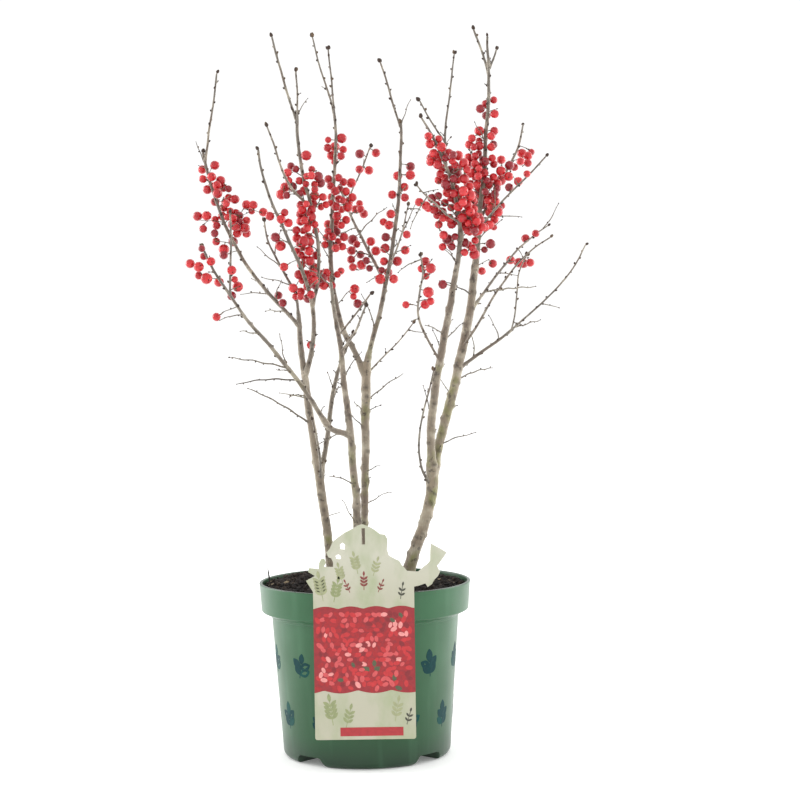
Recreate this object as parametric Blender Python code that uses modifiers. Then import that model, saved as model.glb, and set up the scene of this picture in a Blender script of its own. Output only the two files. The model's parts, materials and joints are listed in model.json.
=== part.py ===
"""A potted winterberry: a bare many-stemmed shrub in a green nursery pot with a die-cut card label.

Sizes are in millimetres and the model is in metres. The origin is the middle of the pot's underside,
+Z is up and the label faces -Y.
"""

import math
from dataclasses import dataclass, replace

import bmesh
import bpy
from mathutils import Vector

MM = 0.001
GAP = 0.3

POT_HEIGHT = 156.0
RIM_RADIUS = 95.0
BAND_FOOT_RADIUS = 93.2
BAND_HEIGHT = 24.0
SHOULDER_DROP = 7.0
WALL_TOP_RADIUS = 84.0
WALL_FOOT_RADIUS = 75.4
FOOT_ROUNDING = 6.0
WALL = 1.8
FLOOR_TOP = 10.5
CHANNEL_WIDTH = 25.0
CHANNEL_HEIGHT = 8.5
CHANNEL_FLARE = 5.0
CHANNEL_INNER_RADIUS = 44.0
CHANNEL_TURN = 48.0
POT_STEPS = 40

SOIL_TOP = 154.5
SOIL_EDGE = 152.0
SOIL_PLATEAU = 66.0
STEM_ROOT_HEIGHT = 142.0
STEM_FLARE = 0.45
FLARE_LENGTH = 9.0

CARD_LEFT = -42.6
CARD_RIGHT = 43.8
CARD_FOOT = 31.5
CARD_THICKNESS = 0.9
CARD_CORNER = 2.0
CARD_PLANE = RIM_RADIUS + 0.35
SLOT_WIDTH = 3.0
SLOT_FOOT = 199.0
SLOT_TOP = 213.0
SLOT_MIDDLE = 1.0
TONGUE_WIDTH = 16.0
TONGUE_THICKNESS = 1.0
TONGUE_TOP = 166.0
TONGUE_FOOT = 137.0
TONGUE_INSET = 86.0

RING_SPACING = 20.0
SIDE_SHARE = 0.86
NEIGHBOUR_REACH = 14.0


@dataclass(frozen=True)
class Limb:
    """One tapering stem, bough or shoot.

    leaves is the height at which it leaves its parent, or None where it carries on from the parent's
    tip. bow is how far it bulges sideways, to the left of its own way up, low and high on its length.
    swell is how much wider it is at mid length than a straight taper.
    """

    name: str
    parent: str
    leaves: float | None
    tip: tuple
    bow: tuple
    base_width: float
    tip_width: float
    swell: float = 0.0

    def width(self, part: float) -> float:
        """Return the limb's width at a part of its length, 0 at its foot and 1 at its tip."""
        taper = self.base_width + (self.tip_width - self.base_width) * part
        return taper + self.swell * 4.0 * part * (1.0 - part)


# The card's edge above the pot's rim, from its right side over the dome to its left side.
CARD_BRANCH = [
    (43.8, 162.4), (47.8, 163.2), (53.5, 165.0), (55.3, 161.9), (59.1, 164.4), (60.9, 167.8), (64.3, 171.2),
    (66.1, 174.9), (63.6, 180.0), (65.7, 182.3), (69.6, 187.6), (72.1, 191.3), (65.8, 195.2), (58.4, 199.3),
    (57.9, 192.0), (57.7, 184.4), (55.1, 181.6), (49.9, 177.6), (47.4, 175.2),
]
CARD_DOME = [
    (38.1, 175.9), (33.7, 181.0), (31.2, 184.9), (27.8, 186.3), (22.7, 189.4), (21.1, 194.5), (21.7, 199.5),
    (21.6, 203.5), (19.6, 207.2), (15.3, 207.8), (11.2, 211.2), (6.9, 213.9), (0.8, 216.3), (-2.5, 215.8),
    (-8.5, 212.5), (-15.4, 209.1), (-21.4, 204.9), (-25.2, 201.6), (-27.9, 195.6), (-30.6, 192.7),
]
CARD_LEAVES = [
    (-29.3, 188.8), (-26.6, 187.6), (-25.0, 184.0), (-25.2, 180.1), (-32.9, 180.5), (-31.1, 183.7),
    (-32.4, 187.4), (-35.3, 187.1), (-37.1, 183.7), (-37.5, 178.6), (-45.7, 179.6), (-46.6, 176.2),
    (-40.7, 172.7), (-48.4, 168.5), (-42.6, 159.0),
]
CARD_HIGH_HOLE = [(-18.6, 195.4), (-14.9, 195.0), (-14.7, 199.2), (-16.8, 200.8), (-19.0, 199.4)]
CARD_LOW_HOLE = [(-22.3, 187.2), (-18.7, 186.9), (-18.3, 189.4), (-20.4, 190.8), (-22.8, 189.8)]

STEM_FEET = {
    "left_stem": (-30.0, 8.0),
    "front_stem": (-5.0, -14.0),
    "middle_stem": (-3.0, 12.0),
    "right_trunk": (36.0, -4.0),
}

LIMBS = (
    Limb("left_stem", "", None, (-57, 13, 398), (-7, 5), 6.4, 3.8, 2.3),
    Limb("left_bough", "left_stem", 389, (-145, 62, 548), (24, 19), 3.8, 2.6),
    Limb("left_leader", "left_bough", 534, (-132, 80, 623), (4, -1), 2.3, 1.7),
    Limb("left_inner_shoot", "left_stem", None, (-83, -35, 478), (-11, 10), 2.8, 1.4),
    Limb("left_front_bough", "left_stem", 344, (-85, -62, 539), (-48, 10), 4.8, 2.0, -0.3),
    Limb("tall_bough", "left_front_bough", 407, (-54, -10, 574), (-26, 9), 4.0, 3.0),
    Limb("tall_tip", "tall_bough", 571, (-76, 5, 645), (3, 2), 2.5, 1.9),
    Limb("tall_side_tip", "tall_bough", 564, (-53, -35, 609), (-3, 0), 2.1, 1.7),
    Limb("front_shoot", "tall_bough", 494, (-77, -78, 558), (18, 1), 2.5, 1.5),
    Limb("back_shoot", "left_stem", 248, (-9, 66, 378), (-1, 13), 4.4, 2.0, 0.9),
    Limb("low_front_shoot", "left_stem", 243, (-44, -16, 302), (-5, -1), 2.8, 1.8),
    Limb("front_stem", "", None, (-25, -52, 424), (-8, -6), 7.4, 2.6, 1.2),
    Limb("low_left_elbow", "front_stem", 286, (-33, -50, 302), (-4, 5), 5.0, 4.6),
    Limb("low_left_bough", "low_left_elbow", None, (-132, -92, 454), (-8, 13), 4.4, 1.9),
    Limb("low_left_shoot", "low_left_bough", 414, (-106, -112, 482), (-2, 0), 2.4, 1.6),
    Limb("front_stem_shoot", "front_stem", 373, (6, -82, 403), (-15, -1), 2.2, 1.7),
    Limb("front_stem_twig", "front_stem", 380, (9, -20, 414), (-5, 0), 2.0, 1.6),
    Limb("middle_stem", "", None, (4, 26, 353), (-2, 0), 6.6, 8.2, -0.6),
    Limb("middle_leader", "middle_stem", None, (38, 40, 571), (-11, -13), 4.8, 2.5),
    Limb("middle_left_bough", "middle_stem", 345, (-22, 34, 583), (46, 2), 5.4, 2.4),
    Limb("middle_left_tip", "middle_left_bough", 580, (-43, 66, 653), (1, 1), 2.0, 1.5),
    Limb("middle_side_tip", "middle_left_bough", 573, (-26, 10, 634), (1, -1), 2.0, 1.5),
    Limb("middle_tip", "middle_leader", 567, (20, 58, 628), (1, 0), 2.3, 1.7),
    Limb("middle_back_bough", "middle_leader", 422, (-20, 112, 517), (-1, 5), 3.2, 2.0),
    Limb("middle_back_shoot", "middle_back_bough", 499, (9, 126, 556), (0, -1), 1.7, 1.3),
    Limb("middle_front_shoot", "middle_leader", 440, (44, -28, 491), (-3, -1), 1.8, 1.1),
    Limb("middle_low_shoot", "middle_stem", 338, (48, 70, 387), (3, -2), 1.7, 1.1),
    Limb("right_trunk", "", None, (62, 0, 256), (7, -13), 10.4, 10.4, -1.4),
    Limb("right_front_bough", "right_trunk", 249, (89, -48, 463), (16, -2), 7.0, 3.8, 1.3),
    Limb("right_front_tip", "right_front_bough", None, (55, -84, 562), (-9, -11), 3.8, 1.7),
    Limb("right_spire", "right_front_tip", 519, (85, -58, 620), (9, -1), 2.1, 1.4),
    Limb("right_spire_side", "right_spire", 547, (54, -50, 581), (4, 1), 1.7, 1.3),
    Limb("right_back_bough", "right_trunk", None, (108, 34, 480), (-7, -12), 7.2, 5.2, 1.4),
    Limb("right_leader", "right_back_bough", None, (120, 42, 624), (-3, -2), 4.6, 2.7),
    Limb("leader_left_tip", "right_leader", 613, (107, 60, 657), (1, -1), 2.3, 2.0),
    Limb("leader_tip", "right_leader", None, (118, 34, 647), (1, 1), 2.6, 2.2),
    Limb("leader_right_tip", "right_leader", 619, (127, 46, 637), (-1, -1), 2.1, 1.7),
    Limb("far_right_elbow", "right_back_bough", 351, (136, 26, 379), (-6, -1), 3.4, 2.3),
    Limb("far_right_bough", "far_right_elbow", None, (207, 44, 457), (-4, -12), 2.0, 1.2),
    Limb("far_right_shoot", "far_right_elbow", 377, (148, -22, 446), (-9, 10), 1.7, 1.1),
    Limb("right_fan_front", "right_back_bough", 364, (166, -70, 459), (2, 19), 2.5, 1.2),
    Limb("right_fan_back", "right_back_bough", 397, (177, 104, 478), (1, 12), 2.9, 1.2),
    Limb("high_back_shoot", "right_back_bough", 474, (155, 122, 575), (3, -12), 2.9, 1.8),
    Limb("high_right_shoot", "right_back_bough", 465, (167, -12, 534), (10, -1), 2.2, 1.4),
    Limb("right_inner_shoot", "right_front_bough", 367, (53, -98, 445), (36, -4), 2.3, 1.4),
    Limb("right_cluster_shoot", "right_front_tip", 479, (50, -104, 504), (7, 3), 2.0, 1.2),
    Limb("right_low_shoot", "right_trunk", 238, (64, -46, 346), (26, 5), 2.2, 1.4),
)


def clear_scene() -> None:
    """Remove whatever the scene holds."""
    for old in list(bpy.context.scene.objects):
        bpy.data.objects.remove(old, do_unlink=True)


def new_collection(name: str) -> bpy.types.Collection:
    """Return a new collection in the scene."""
    made = bpy.data.collections.new(name)
    bpy.context.scene.collection.children.link(made)
    return made


def material(name: str, colour: tuple, rough: float) -> bpy.types.Material:
    """Return a Principled material of one colour."""
    made = bpy.data.materials.new(name)
    made.use_nodes = True
    shader = made.node_tree.nodes["Principled BSDF"]
    shader.inputs["Base Color"].default_value = (*colour, 1.0)
    shader.inputs["Roughness"].default_value = rough
    return made


def add_object(name: str, data, home: bpy.types.Collection, paint=None) -> bpy.types.Object:
    """Link an object holding the data, with its material where one is given."""
    made = bpy.data.objects.new(name, data)
    home.objects.link(made)
    if paint is not None:
        data.materials.append(paint)
    if home.name == "cutters":
        made.hide_render = True
        made.display_type = "WIRE"
    return made


def turned(name: str, profile: list, home, paint=None) -> bpy.types.Object:
    """Turn a profile of (radius, height) points, given down the outer side, about the Z axis."""
    mesh = bpy.data.meshes.new(name)
    corners = [(radius * MM, 0.0, height * MM) for radius, height in profile]
    mesh.from_pydata(corners, [(i, i + 1) for i in range(len(corners) - 1)], [])
    made = add_object(name, mesh, home, paint)
    screw = made.modifiers.new("turn", "SCREW")
    screw.axis = "Z"
    screw.steps = POT_STEPS
    screw.render_steps = POT_STEPS
    screw.use_merge_vertices = True
    screw.merge_threshold = 0.0001
    screw.use_smooth_shade = True
    return made


def box(name: str, low: tuple, high: tuple, home, paint=None) -> bpy.types.Object:
    """Return a box between two corners in millimetres."""
    mesh = bpy.data.meshes.new(name)
    shape = bmesh.new()
    bmesh.ops.create_cube(shape, size=1.0)
    for corner in shape.verts:
        for axis in range(3):
            corner.co[axis] = (low[axis] if corner.co[axis] < 0 else high[axis]) * MM
    shape.to_mesh(mesh)
    shape.free()
    return add_object(name, mesh, home, paint)


def prism(name: str, section: list, start: float, end: float, home) -> bpy.types.Object:
    """Return a mesh with one outline, given in the YZ plane, all along X from start to end."""
    shape = bmesh.new()
    face = shape.faces.new([shape.verts.new((start * MM, y * MM, z * MM)) for y, z in section])
    pushed = bmesh.ops.extrude_face_region(shape, geom=[face])
    moved = [item for item in pushed["geom"] if isinstance(item, bmesh.types.BMVert)]
    bmesh.ops.translate(shape, verts=moved, vec=((end - start) * MM, 0.0, 0.0))
    bmesh.ops.recalc_face_normals(shape, faces=shape.faces)
    mesh = bpy.data.meshes.new(name)
    shape.to_mesh(mesh)
    shape.free()
    return add_object(name, mesh, home)


def cut(body: bpy.types.Object, cutter: bpy.types.Object) -> None:
    """Take the cutter away from the body."""
    modifier = body.modifiers.new("cut_" + cutter.name, "BOOLEAN")
    modifier.operation = "DIFFERENCE"
    modifier.solver = "EXACT"
    modifier.object = cutter


def arc(middle: tuple, radius: float, start: float, end: float, steps: int) -> list:
    """Return points along an arc between two angles in degrees."""
    turns = [math.radians(start + (end - start) * i / steps) for i in range(steps + 1)]
    return [(middle[0] + radius * math.cos(a), middle[1] + radius * math.sin(a)) for a in turns]


def pot_outer() -> list:
    """Return the pot's outer side from the rim's inner edge down to the middle of the underside."""
    band_foot = POT_HEIGHT - BAND_HEIGHT
    wall_top = band_foot - SHOULDER_DROP
    side = [(RIM_RADIUS - 2.6, POT_HEIGHT - 0.8), (RIM_RADIUS - 2.0, POT_HEIGHT)]
    side += [(RIM_RADIUS - 0.7, POT_HEIGHT), (RIM_RADIUS, POT_HEIGHT - 0.9)]
    side += [(BAND_FOOT_RADIUS, band_foot + 3.0)]
    side += [(BAND_FOOT_RADIUS - 1.2, band_foot), (BAND_FOOT_RADIUS - 4.5, band_foot - 2.4)]
    side += [(WALL_TOP_RADIUS + 0.8, wall_top + 2.2), (WALL_TOP_RADIUS, wall_top)]
    rounding = arc((WALL_FOOT_RADIUS - FOOT_ROUNDING, FOOT_ROUNDING), FOOT_ROUNDING, 0.0, -90.0, 4)
    return side + rounding + [(0.0, 0.0)]


def pot_inner(gap: float) -> list:
    """Return the pot's inner side from the middle of its floor up to near the rim."""
    band_foot = POT_HEIGHT - BAND_HEIGHT
    wall_top = band_foot - SHOULDER_DROP
    reach = WALL + gap
    side = [(0.0, FLOOR_TOP + gap), (WALL_FOOT_RADIUS - reach - 2.0, FLOOR_TOP + gap)]
    side += [(WALL_FOOT_RADIUS - reach, FLOOR_TOP + 2.0 + gap)]
    side += [(WALL_TOP_RADIUS - reach, wall_top), (WALL_TOP_RADIUS - reach + 0.8, wall_top + 3.0 + gap)]
    side += [(BAND_FOOT_RADIUS - reach - 3.4, band_foot - 0.6 + gap)]
    side += [(BAND_FOOT_RADIUS - reach, band_foot + 4.0 + gap)]
    return side


def add_pot(home, cutters, paint) -> None:
    """Build the pot with its rim band, shoulder, rounded foot and four drainage channels."""
    profile = pot_inner(0.0) + pot_outer()
    pot = turned("pot", profile, home, paint)
    half = CHANNEL_WIDTH / 2
    section = [(half + 1.2 * CHANNEL_FLARE, -1.0), (half + CHANNEL_FLARE, 0.0)]
    section += [(half + 0.4 * CHANNEL_FLARE, CHANNEL_HEIGHT / 3), (half, CHANNEL_HEIGHT - 1.0)]
    section += [(half - 1.0, CHANNEL_HEIGHT)]
    section += [(-across, height) for across, height in section[::-1]]
    for index in range(4):
        channel = prism(f"channel_{index}", section, CHANNEL_INNER_RADIUS, RIM_RADIUS, cutters)
        channel.rotation_euler = (0.0, 0.0, math.radians(CHANNEL_TURN + 90.0 * index))
        cut(pot, channel)


def add_soil(home, cutters, paint) -> None:
    """Build the soil: a flat middle where the stems stand, falling a little to the pot's wall."""
    edge = BAND_FOOT_RADIUS - WALL - GAP + 0.4
    profile = [(0.0, SOIL_TOP), (SOIL_PLATEAU, SOIL_TOP), (edge - 12.0, SOIL_EDGE + 0.8)]
    profile += [(edge, SOIL_EDGE)] + pot_inner(GAP)[::-1]
    soil = turned("soil", profile, home, paint)
    half = TONGUE_WIDTH / 2 + GAP
    low = (-half, -TONGUE_INSET - TONGUE_THICKNESS - GAP, TONGUE_FOOT - GAP)
    cut(soil, box("tongue_slot", low, (half, -TONGUE_INSET + GAP, POT_HEIGHT), cutters))


def card_outline() -> list:
    """Return the card's outline: a plain foot, a branch with one leaf, a dome and ragged leaves."""
    foot = arc((CARD_LEFT + CARD_CORNER, CARD_FOOT + CARD_CORNER), CARD_CORNER, 180.0, 270.0, 3)
    foot += arc((CARD_RIGHT - CARD_CORNER, CARD_FOOT + CARD_CORNER), CARD_CORNER, -90.0, 0.0, 3)
    return foot + CARD_BRANCH + CARD_DOME + CARD_LEAVES


def add_label(home, paint, tongue_paint) -> None:
    """Build the flat card in front of the pot and the tongue that hooks over the rim into the soil."""
    outline = bpy.data.curves.new("label_card", "CURVE")
    outline.dimensions = "2D"
    outline.fill_mode = "BOTH"
    outline.extrude = CARD_THICKNESS / 2 * MM
    slot = [(SLOT_MIDDLE - SLOT_WIDTH / 2, SLOT_FOOT), (SLOT_MIDDLE + SLOT_WIDTH / 2, SLOT_FOOT)]
    slot += [(SLOT_MIDDLE + SLOT_WIDTH / 2, SLOT_TOP), (SLOT_MIDDLE - SLOT_WIDTH / 2, SLOT_TOP)]
    for loop in (card_outline(), slot, CARD_HIGH_HOLE, CARD_LOW_HOLE):
        spline = outline.splines.new("POLY")
        spline.points.add(len(loop) - 1)
        spline.use_cyclic_u = True
        for point, (x, y) in zip(spline.points, loop):
            point.co = (x * MM, y * MM, 0.0, 1.0)
    card = add_object("label_card", outline, home, paint)
    card.rotation_euler = (math.pi / 2, 0.0, 0.0)
    card.location = (0.0, -(CARD_PLANE + CARD_THICKNESS / 2) * MM, 0.0)

    front = -CARD_PLANE + GAP - 0.05
    back = -TONGUE_INSET - TONGUE_THICKNESS
    top = POT_HEIGHT + GAP
    fold = TONGUE_TOP - TONGUE_THICKNESS
    side = [(front, top), (front, TONGUE_TOP), (back + TONGUE_THICKNESS, TONGUE_TOP)]
    side += [(back + TONGUE_THICKNESS, TONGUE_FOOT), (back, TONGUE_FOOT), (back, fold)]
    side += [(front + TONGUE_THICKNESS, fold), (front + TONGUE_THICKNESS, top)]
    tongue = prism("label_tongue", side, -TONGUE_WIDTH / 2, TONGUE_WIDTH / 2, home)
    tongue.data.materials.append(tongue_paint)


def bowed_path(start: Vector, tip: Vector, bow: tuple, steps: int) -> list:
    """Return points from start to tip along a chord that bulges sideways in the front view."""
    chord = tip - start
    across = Vector((-chord.z, 0.0, chord.x)).normalized()
    points = []
    for step in range(steps + 1):
        part = step / steps
        low = 3.0 * part * (1.0 - part) ** 2
        high = 3.0 * part ** 2 * (1.0 - part)
        points.append(start + chord * part + across * (bow[0] * low + bow[1] * high))
    return points


def joint_on(path: list, height: float) -> tuple:
    """Return the point where a rising path passes a height, and how far along the path that is, 0 to 1."""
    for index, (lower, upper) in enumerate(zip(path, path[1:])):
        if lower.z <= height <= upper.z:
            share = (height - lower.z) / (upper.z - lower.z)
            return lower.lerp(upper, share), (index + share) / (len(path) - 1)
    return path[-1], 1.0


def tube(name: str, path: list, widths: list, grow: float, home, paint=None) -> bpy.types.Object:
    """Return a capped tube through the path, a mesh, with its width at each point and room to grow."""
    curve = bpy.data.curves.new(name, "CURVE")
    curve.dimensions = "3D"
    curve.bevel_depth = MM
    curve.bevel_resolution = 2
    curve.use_fill_caps = True
    spline = curve.splines.new("POLY")
    spline.points.add(len(path) - 1)
    for point, place, width in zip(spline.points, path, widths):
        point.co = (*(place * MM), 1.0)
        point.radius = width / 2.0 + grow
    source = add_object(name + "_curve", curve, home)
    evaluated = source.evaluated_get(bpy.context.evaluated_depsgraph_get())
    mesh = bpy.data.meshes.new_from_object(evaluated)
    place = source.matrix_world.copy()
    bpy.data.objects.remove(source, do_unlink=True)
    shape = bmesh.new()
    shape.from_mesh(mesh)
    bmesh.ops.remove_doubles(shape, verts=shape.verts, dist=0.00001)
    bmesh.ops.recalc_face_normals(shape, faces=shape.faces)
    for face in shape.faces:
        face.smooth = len(face.verts) == 4
    shape.to_mesh(mesh)
    shape.free()
    mesh.name = name
    made = add_object(name, mesh, home, paint)
    made.matrix_world = place
    return made


def add_limbs(home, cutters, barks: dict) -> None:
    """Grow every limb from the soil or from its parent, each cut to sit on what carries it."""
    ground = box("ground_cutter", (-70.0, -70.0, SOIL_TOP - 30.0), (70.0, 70.0, SOIL_TOP + GAP), cutters)
    paths = {}
    joints = {}
    limbs = {limb.name: limb for limb in LIMBS}
    for limb in LIMBS:
        base_width = limb.base_width
        if not limb.parent:
            start = Vector((*STEM_FEET[limb.name], STEM_ROOT_HEIGHT))
        elif limb.leaves is None:
            start = paths[limb.parent][-1]
        else:
            start, share = joint_on(paths[limb.parent], limb.leaves)
            base_width = min(base_width, SIDE_SHARE * limbs[limb.parent].width(share))
        tip = Vector(limb.tip)
        length = (tip - start).length
        paths[limb.name] = bowed_path(start, tip, limb.bow, 60)
        steps = max(3, round(length / RING_SPACING))
        path = bowed_path(start, tip, limb.bow, steps)
        shape = replace(limb, base_width=base_width)
        widths = []
        for step, place in enumerate(path):
            width = shape.width(step / steps)
            if not limb.parent:
                width *= 1.0 + STEM_FLARE * math.exp(-max(place.z - SOIL_TOP, 0.0) / FLARE_LENGTH)
            widths.append(width)
        body = tube(limb.name, path, widths, 0.0, home, barks[bool(limb.parent)])
        longer = [path[0]] + path[1:-1] + [path[-1] + (path[-1] - path[-2]).normalized() * GAP]
        tube("room_for_" + limb.name, longer, widths, GAP * 1.1, cutters)
        if not limb.parent:
            cut(body, ground)
            continue
        cut(body, bpy.data.objects["room_for_" + limb.parent])
        joints[limb.name] = (limb.parent, start)
        for other, (parent, joint) in joints.items():
            if other != limb.name and parent == limb.parent and (joint - start).length < NEIGHBOUR_REACH:
                cut(body, bpy.data.objects["room_for_" + other])


def main() -> None:
    """Build the plant, its pot, soil and label."""
    clear_scene()
    home = new_collection("potted_winterberry")
    cutters = new_collection("cutters")
    green = material("pot_green", (0.075, 0.22, 0.11), 0.45)
    earth = material("potting_soil", (0.035, 0.022, 0.014), 0.95)
    card = material("label_print", (0.58, 0.60, 0.48), 0.4)
    tongue = material("label_back", (0.62, 0.63, 0.55), 0.5)
    stem_bark = material("stem_bark", (0.30, 0.26, 0.20), 0.85)
    twig_bark = material("bough_bark", (0.20, 0.17, 0.13), 0.85)
    add_pot(home, cutters, green)
    add_soil(home, cutters, earth)
    add_label(home, card, tongue)
    add_limbs(home, cutters, {False: stem_bark, True: twig_bark})


main()
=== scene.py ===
"""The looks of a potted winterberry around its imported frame.

It has bare stems with their boughs, twigs and buds, red berries on short stalks, a green nursery pot
with leaf prints, bark compost and a die-cut card label. Shapes are worked out in millimetres and
scaled to metres when a piece is finished. The label faces -Y and +Z is up.
"""

import json
import logging
import math
import random
from dataclasses import dataclass, field
from enum import Enum

import bmesh
import bpy
import numpy as np
from mathutils import Euler, Matrix, Vector, noise

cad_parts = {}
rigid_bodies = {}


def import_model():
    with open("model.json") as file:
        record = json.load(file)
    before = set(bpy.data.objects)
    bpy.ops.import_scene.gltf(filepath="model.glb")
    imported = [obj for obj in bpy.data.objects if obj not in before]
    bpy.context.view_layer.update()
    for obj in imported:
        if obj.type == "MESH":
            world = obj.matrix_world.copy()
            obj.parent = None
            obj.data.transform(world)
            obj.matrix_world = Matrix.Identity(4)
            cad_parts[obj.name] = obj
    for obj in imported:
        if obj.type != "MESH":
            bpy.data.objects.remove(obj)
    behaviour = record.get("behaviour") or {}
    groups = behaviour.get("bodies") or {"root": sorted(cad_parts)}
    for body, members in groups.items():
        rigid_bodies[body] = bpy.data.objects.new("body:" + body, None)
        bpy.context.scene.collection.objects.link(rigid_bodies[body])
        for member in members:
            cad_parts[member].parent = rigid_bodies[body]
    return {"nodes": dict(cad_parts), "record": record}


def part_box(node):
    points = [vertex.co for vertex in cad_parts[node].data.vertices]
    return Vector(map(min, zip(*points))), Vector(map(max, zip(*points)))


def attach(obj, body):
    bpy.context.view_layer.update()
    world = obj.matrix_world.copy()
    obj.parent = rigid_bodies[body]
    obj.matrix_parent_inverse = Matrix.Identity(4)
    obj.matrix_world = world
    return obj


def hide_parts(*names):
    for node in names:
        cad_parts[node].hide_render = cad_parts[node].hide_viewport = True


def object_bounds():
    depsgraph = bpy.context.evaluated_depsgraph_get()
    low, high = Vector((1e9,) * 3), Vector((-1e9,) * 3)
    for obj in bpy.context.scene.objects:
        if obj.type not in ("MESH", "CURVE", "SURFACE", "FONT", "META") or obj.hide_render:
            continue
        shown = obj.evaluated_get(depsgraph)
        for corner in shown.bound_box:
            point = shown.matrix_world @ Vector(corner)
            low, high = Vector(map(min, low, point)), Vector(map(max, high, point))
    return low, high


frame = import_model()
CAD_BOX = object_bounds()

LOG = logging.getLogger("winterberry")
MM = 0.001
FULL_TURN = 2.0 * math.pi
UP = np.array((0.0, 0.0, 1.0))
BODY = "root"
NOT_WOOD = ("pot", "soil", "label_card", "label_tongue")
NOISE_SEED = 19

Colour = tuple[float, float, float, float]
Socket = bpy.types.NodeSocket


def screen(red: float, green: float, blue: float) -> Colour:
    """Turn a screen colour, 0 to 255 each, into the linear colour that a shader takes."""

    def linear(value: float) -> float:
        """Undo the screen's curve for one channel."""
        share = value / 255.0
        return share / 12.92 if share <= 0.04045 else ((share + 0.055) / 1.055) ** 2.4

    return (linear(red), linear(green), linear(blue), 1.0)


class Graph:
    """The node graph of one finish, around one Principled shader."""

    def __init__(self, name: str, rough: float, gloss: float = 0.5) -> None:
        """Start a finish with its evenly rough, glossy skin."""
        self.material = bpy.data.materials.new(name)
        self.material.use_nodes = True
        self.tree = self.material.node_tree
        self.skin = self.tree.nodes["Principled BSDF"]
        self.skin.inputs["Roughness"].default_value = rough
        self.skin.inputs["Specular IOR Level"].default_value = gloss
        self.place = self.node("ShaderNodeTexCoord").outputs["Object"]

    def node(self, kind: str, inputs: dict | None = None, **settings) -> bpy.types.Node:
        """Add a node.

        Args:
            kind: Blender's name for the kind of node.
            inputs: what each named or numbered input takes, a value or another node's output.
            settings: the node's own settings.

        Returns:
            The new node.
        """
        made = self.tree.nodes.new(kind)
        for key, value in settings.items():
            setattr(made, key, value)
        for key, value in (inputs or {}).items():
            self.feed(made.inputs[key], value)
        return made

    def feed(self, socket: Socket, value: object) -> None:
        """Link a socket to another node's output, or set its value."""
        if isinstance(value, Socket):
            self.tree.links.new(value, socket)
        else:
            socket.default_value = value

    def attribute(self, name: str) -> Socket:
        """Give the piece's own attribute of that name."""
        return self.node("ShaderNodeAttribute", attribute_name=name).outputs["Fac"]

    def stretched(self, stretch: tuple[float, float, float]) -> Socket:
        """Give the place in the piece with each axis stretched."""
        return self.node("ShaderNodeMapping", {"Vector": self.place, "Scale": stretch}).outputs["Vector"]

    def noise(self, scale: float, detail: float = 3.0, place: Socket | None = None) -> Socket:
        """Give an even noise whose patches are about 1 / scale metres wide."""
        inputs = {"Vector": place or self.place, "Scale": scale, "Detail": detail}
        return self.node("ShaderNodeTexNoise", inputs).outputs["Fac"]

    def spread(self, value: Socket, low: float, high: float, to: tuple = (0.0, 1.0)) -> Socket:
        """Spread a value from between low and high to between the two ends given."""
        inputs = {"Value": value, "From Min": low, "From Max": high, "To Min": to[0], "To Max": to[1]}
        return self.node("ShaderNodeMapRange", inputs).outputs["Result"]

    def mix(self, share: Socket, low: Socket | Colour, high: Socket | Colour) -> Socket:
        """Mix two colours by a share, 0 to 1."""
        return self.node("ShaderNodeMix", {0: share, 6: low, 7: high}, data_type="RGBA").outputs[2]

    def sum(self, *values: Socket) -> Socket:
        """Add values up."""
        total = values[0]
        for value in values[1:]:
            total = self.node("ShaderNodeMath", {0: total, 1: value}, operation="ADD").outputs[0]
        return total

    def paint(self, colour: Socket | Colour) -> None:
        """Colour the skin."""
        self.feed(self.skin.inputs["Base Color"], colour)

    def bump(self, height: Socket, depth: float) -> None:
        """Roughen the skin by a height, whose full range is depth in millimetres."""
        made = self.node("ShaderNodeBump", {"Height": height, "Distance": depth * MM})
        self.feed(self.skin.inputs["Normal"], made.outputs["Normal"])


@dataclass(frozen=True)
class BarkFinish:
    """Bark that pales as it thickens, with grey and olive blotches and dark scars."""

    name: str = "bark"
    young: Colour = screen(94, 89, 84)
    old: Colour = screen(136, 123, 104)
    umber: Colour = screen(102, 87, 75)
    ashen: Colour = screen(202, 194, 174)
    downy: Colour = screen(244, 236, 220)
    olive: Colour = screen(116, 118, 62)
    scarred: Colour = screen(50, 42, 36)
    rough: float = 0.78
    down: float = 1.0

    def make(self) -> bpy.types.Material:
        """Build the finish from the piece's girth and scar attributes, with a fine pale down on it."""
        graph = Graph(self.name, self.rough, 0.35)
        girth, scar = graph.attribute("girth"), graph.attribute("scar")
        along = graph.stretched((1.0, 1.0, 0.16))
        streak = graph.noise(900.0, 3.0, along)
        blotch = graph.noise(75.0, 4.0)
        moss = graph.spread(graph.noise(38.0, 3.0), 0.52, 0.66)
        colour = graph.mix(girth, self.young, self.old)
        colour = graph.mix(graph.spread(graph.noise(15.0, 3.0), 0.46, 0.60, (0.0, 0.75)), colour, self.umber)
        colour = graph.mix(graph.spread(blotch, 0.50, 0.72, (0.0, 0.55)), colour, self.ashen)
        mossy = graph.node("ShaderNodeMath", {0: moss, 1: girth}, operation="MULTIPLY").outputs[0]
        colour = graph.mix(graph.spread(mossy, 0.1, 0.8, (0.0, 0.85)), colour, self.olive)
        colour = graph.mix(graph.spread(streak, 0.5, 0.8, (0.0, 0.55)), colour, self.young)
        speck = graph.spread(graph.noise(220.0, 2.0), 0.60, 0.68, (0.0, 0.7))
        colour = graph.mix(speck, colour, self.scarred)
        graph.paint(graph.mix(scar, colour, self.scarred))
        graph.skin.inputs["Sheen Weight"].default_value = self.down
        graph.skin.inputs["Sheen Roughness"].default_value = 0.55
        graph.skin.inputs["Sheen Tint"].default_value = self.downy
        graph.bump(graph.sum(streak, graph.noise(420.0, 4.0)), 0.6)
        return graph.material


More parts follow.
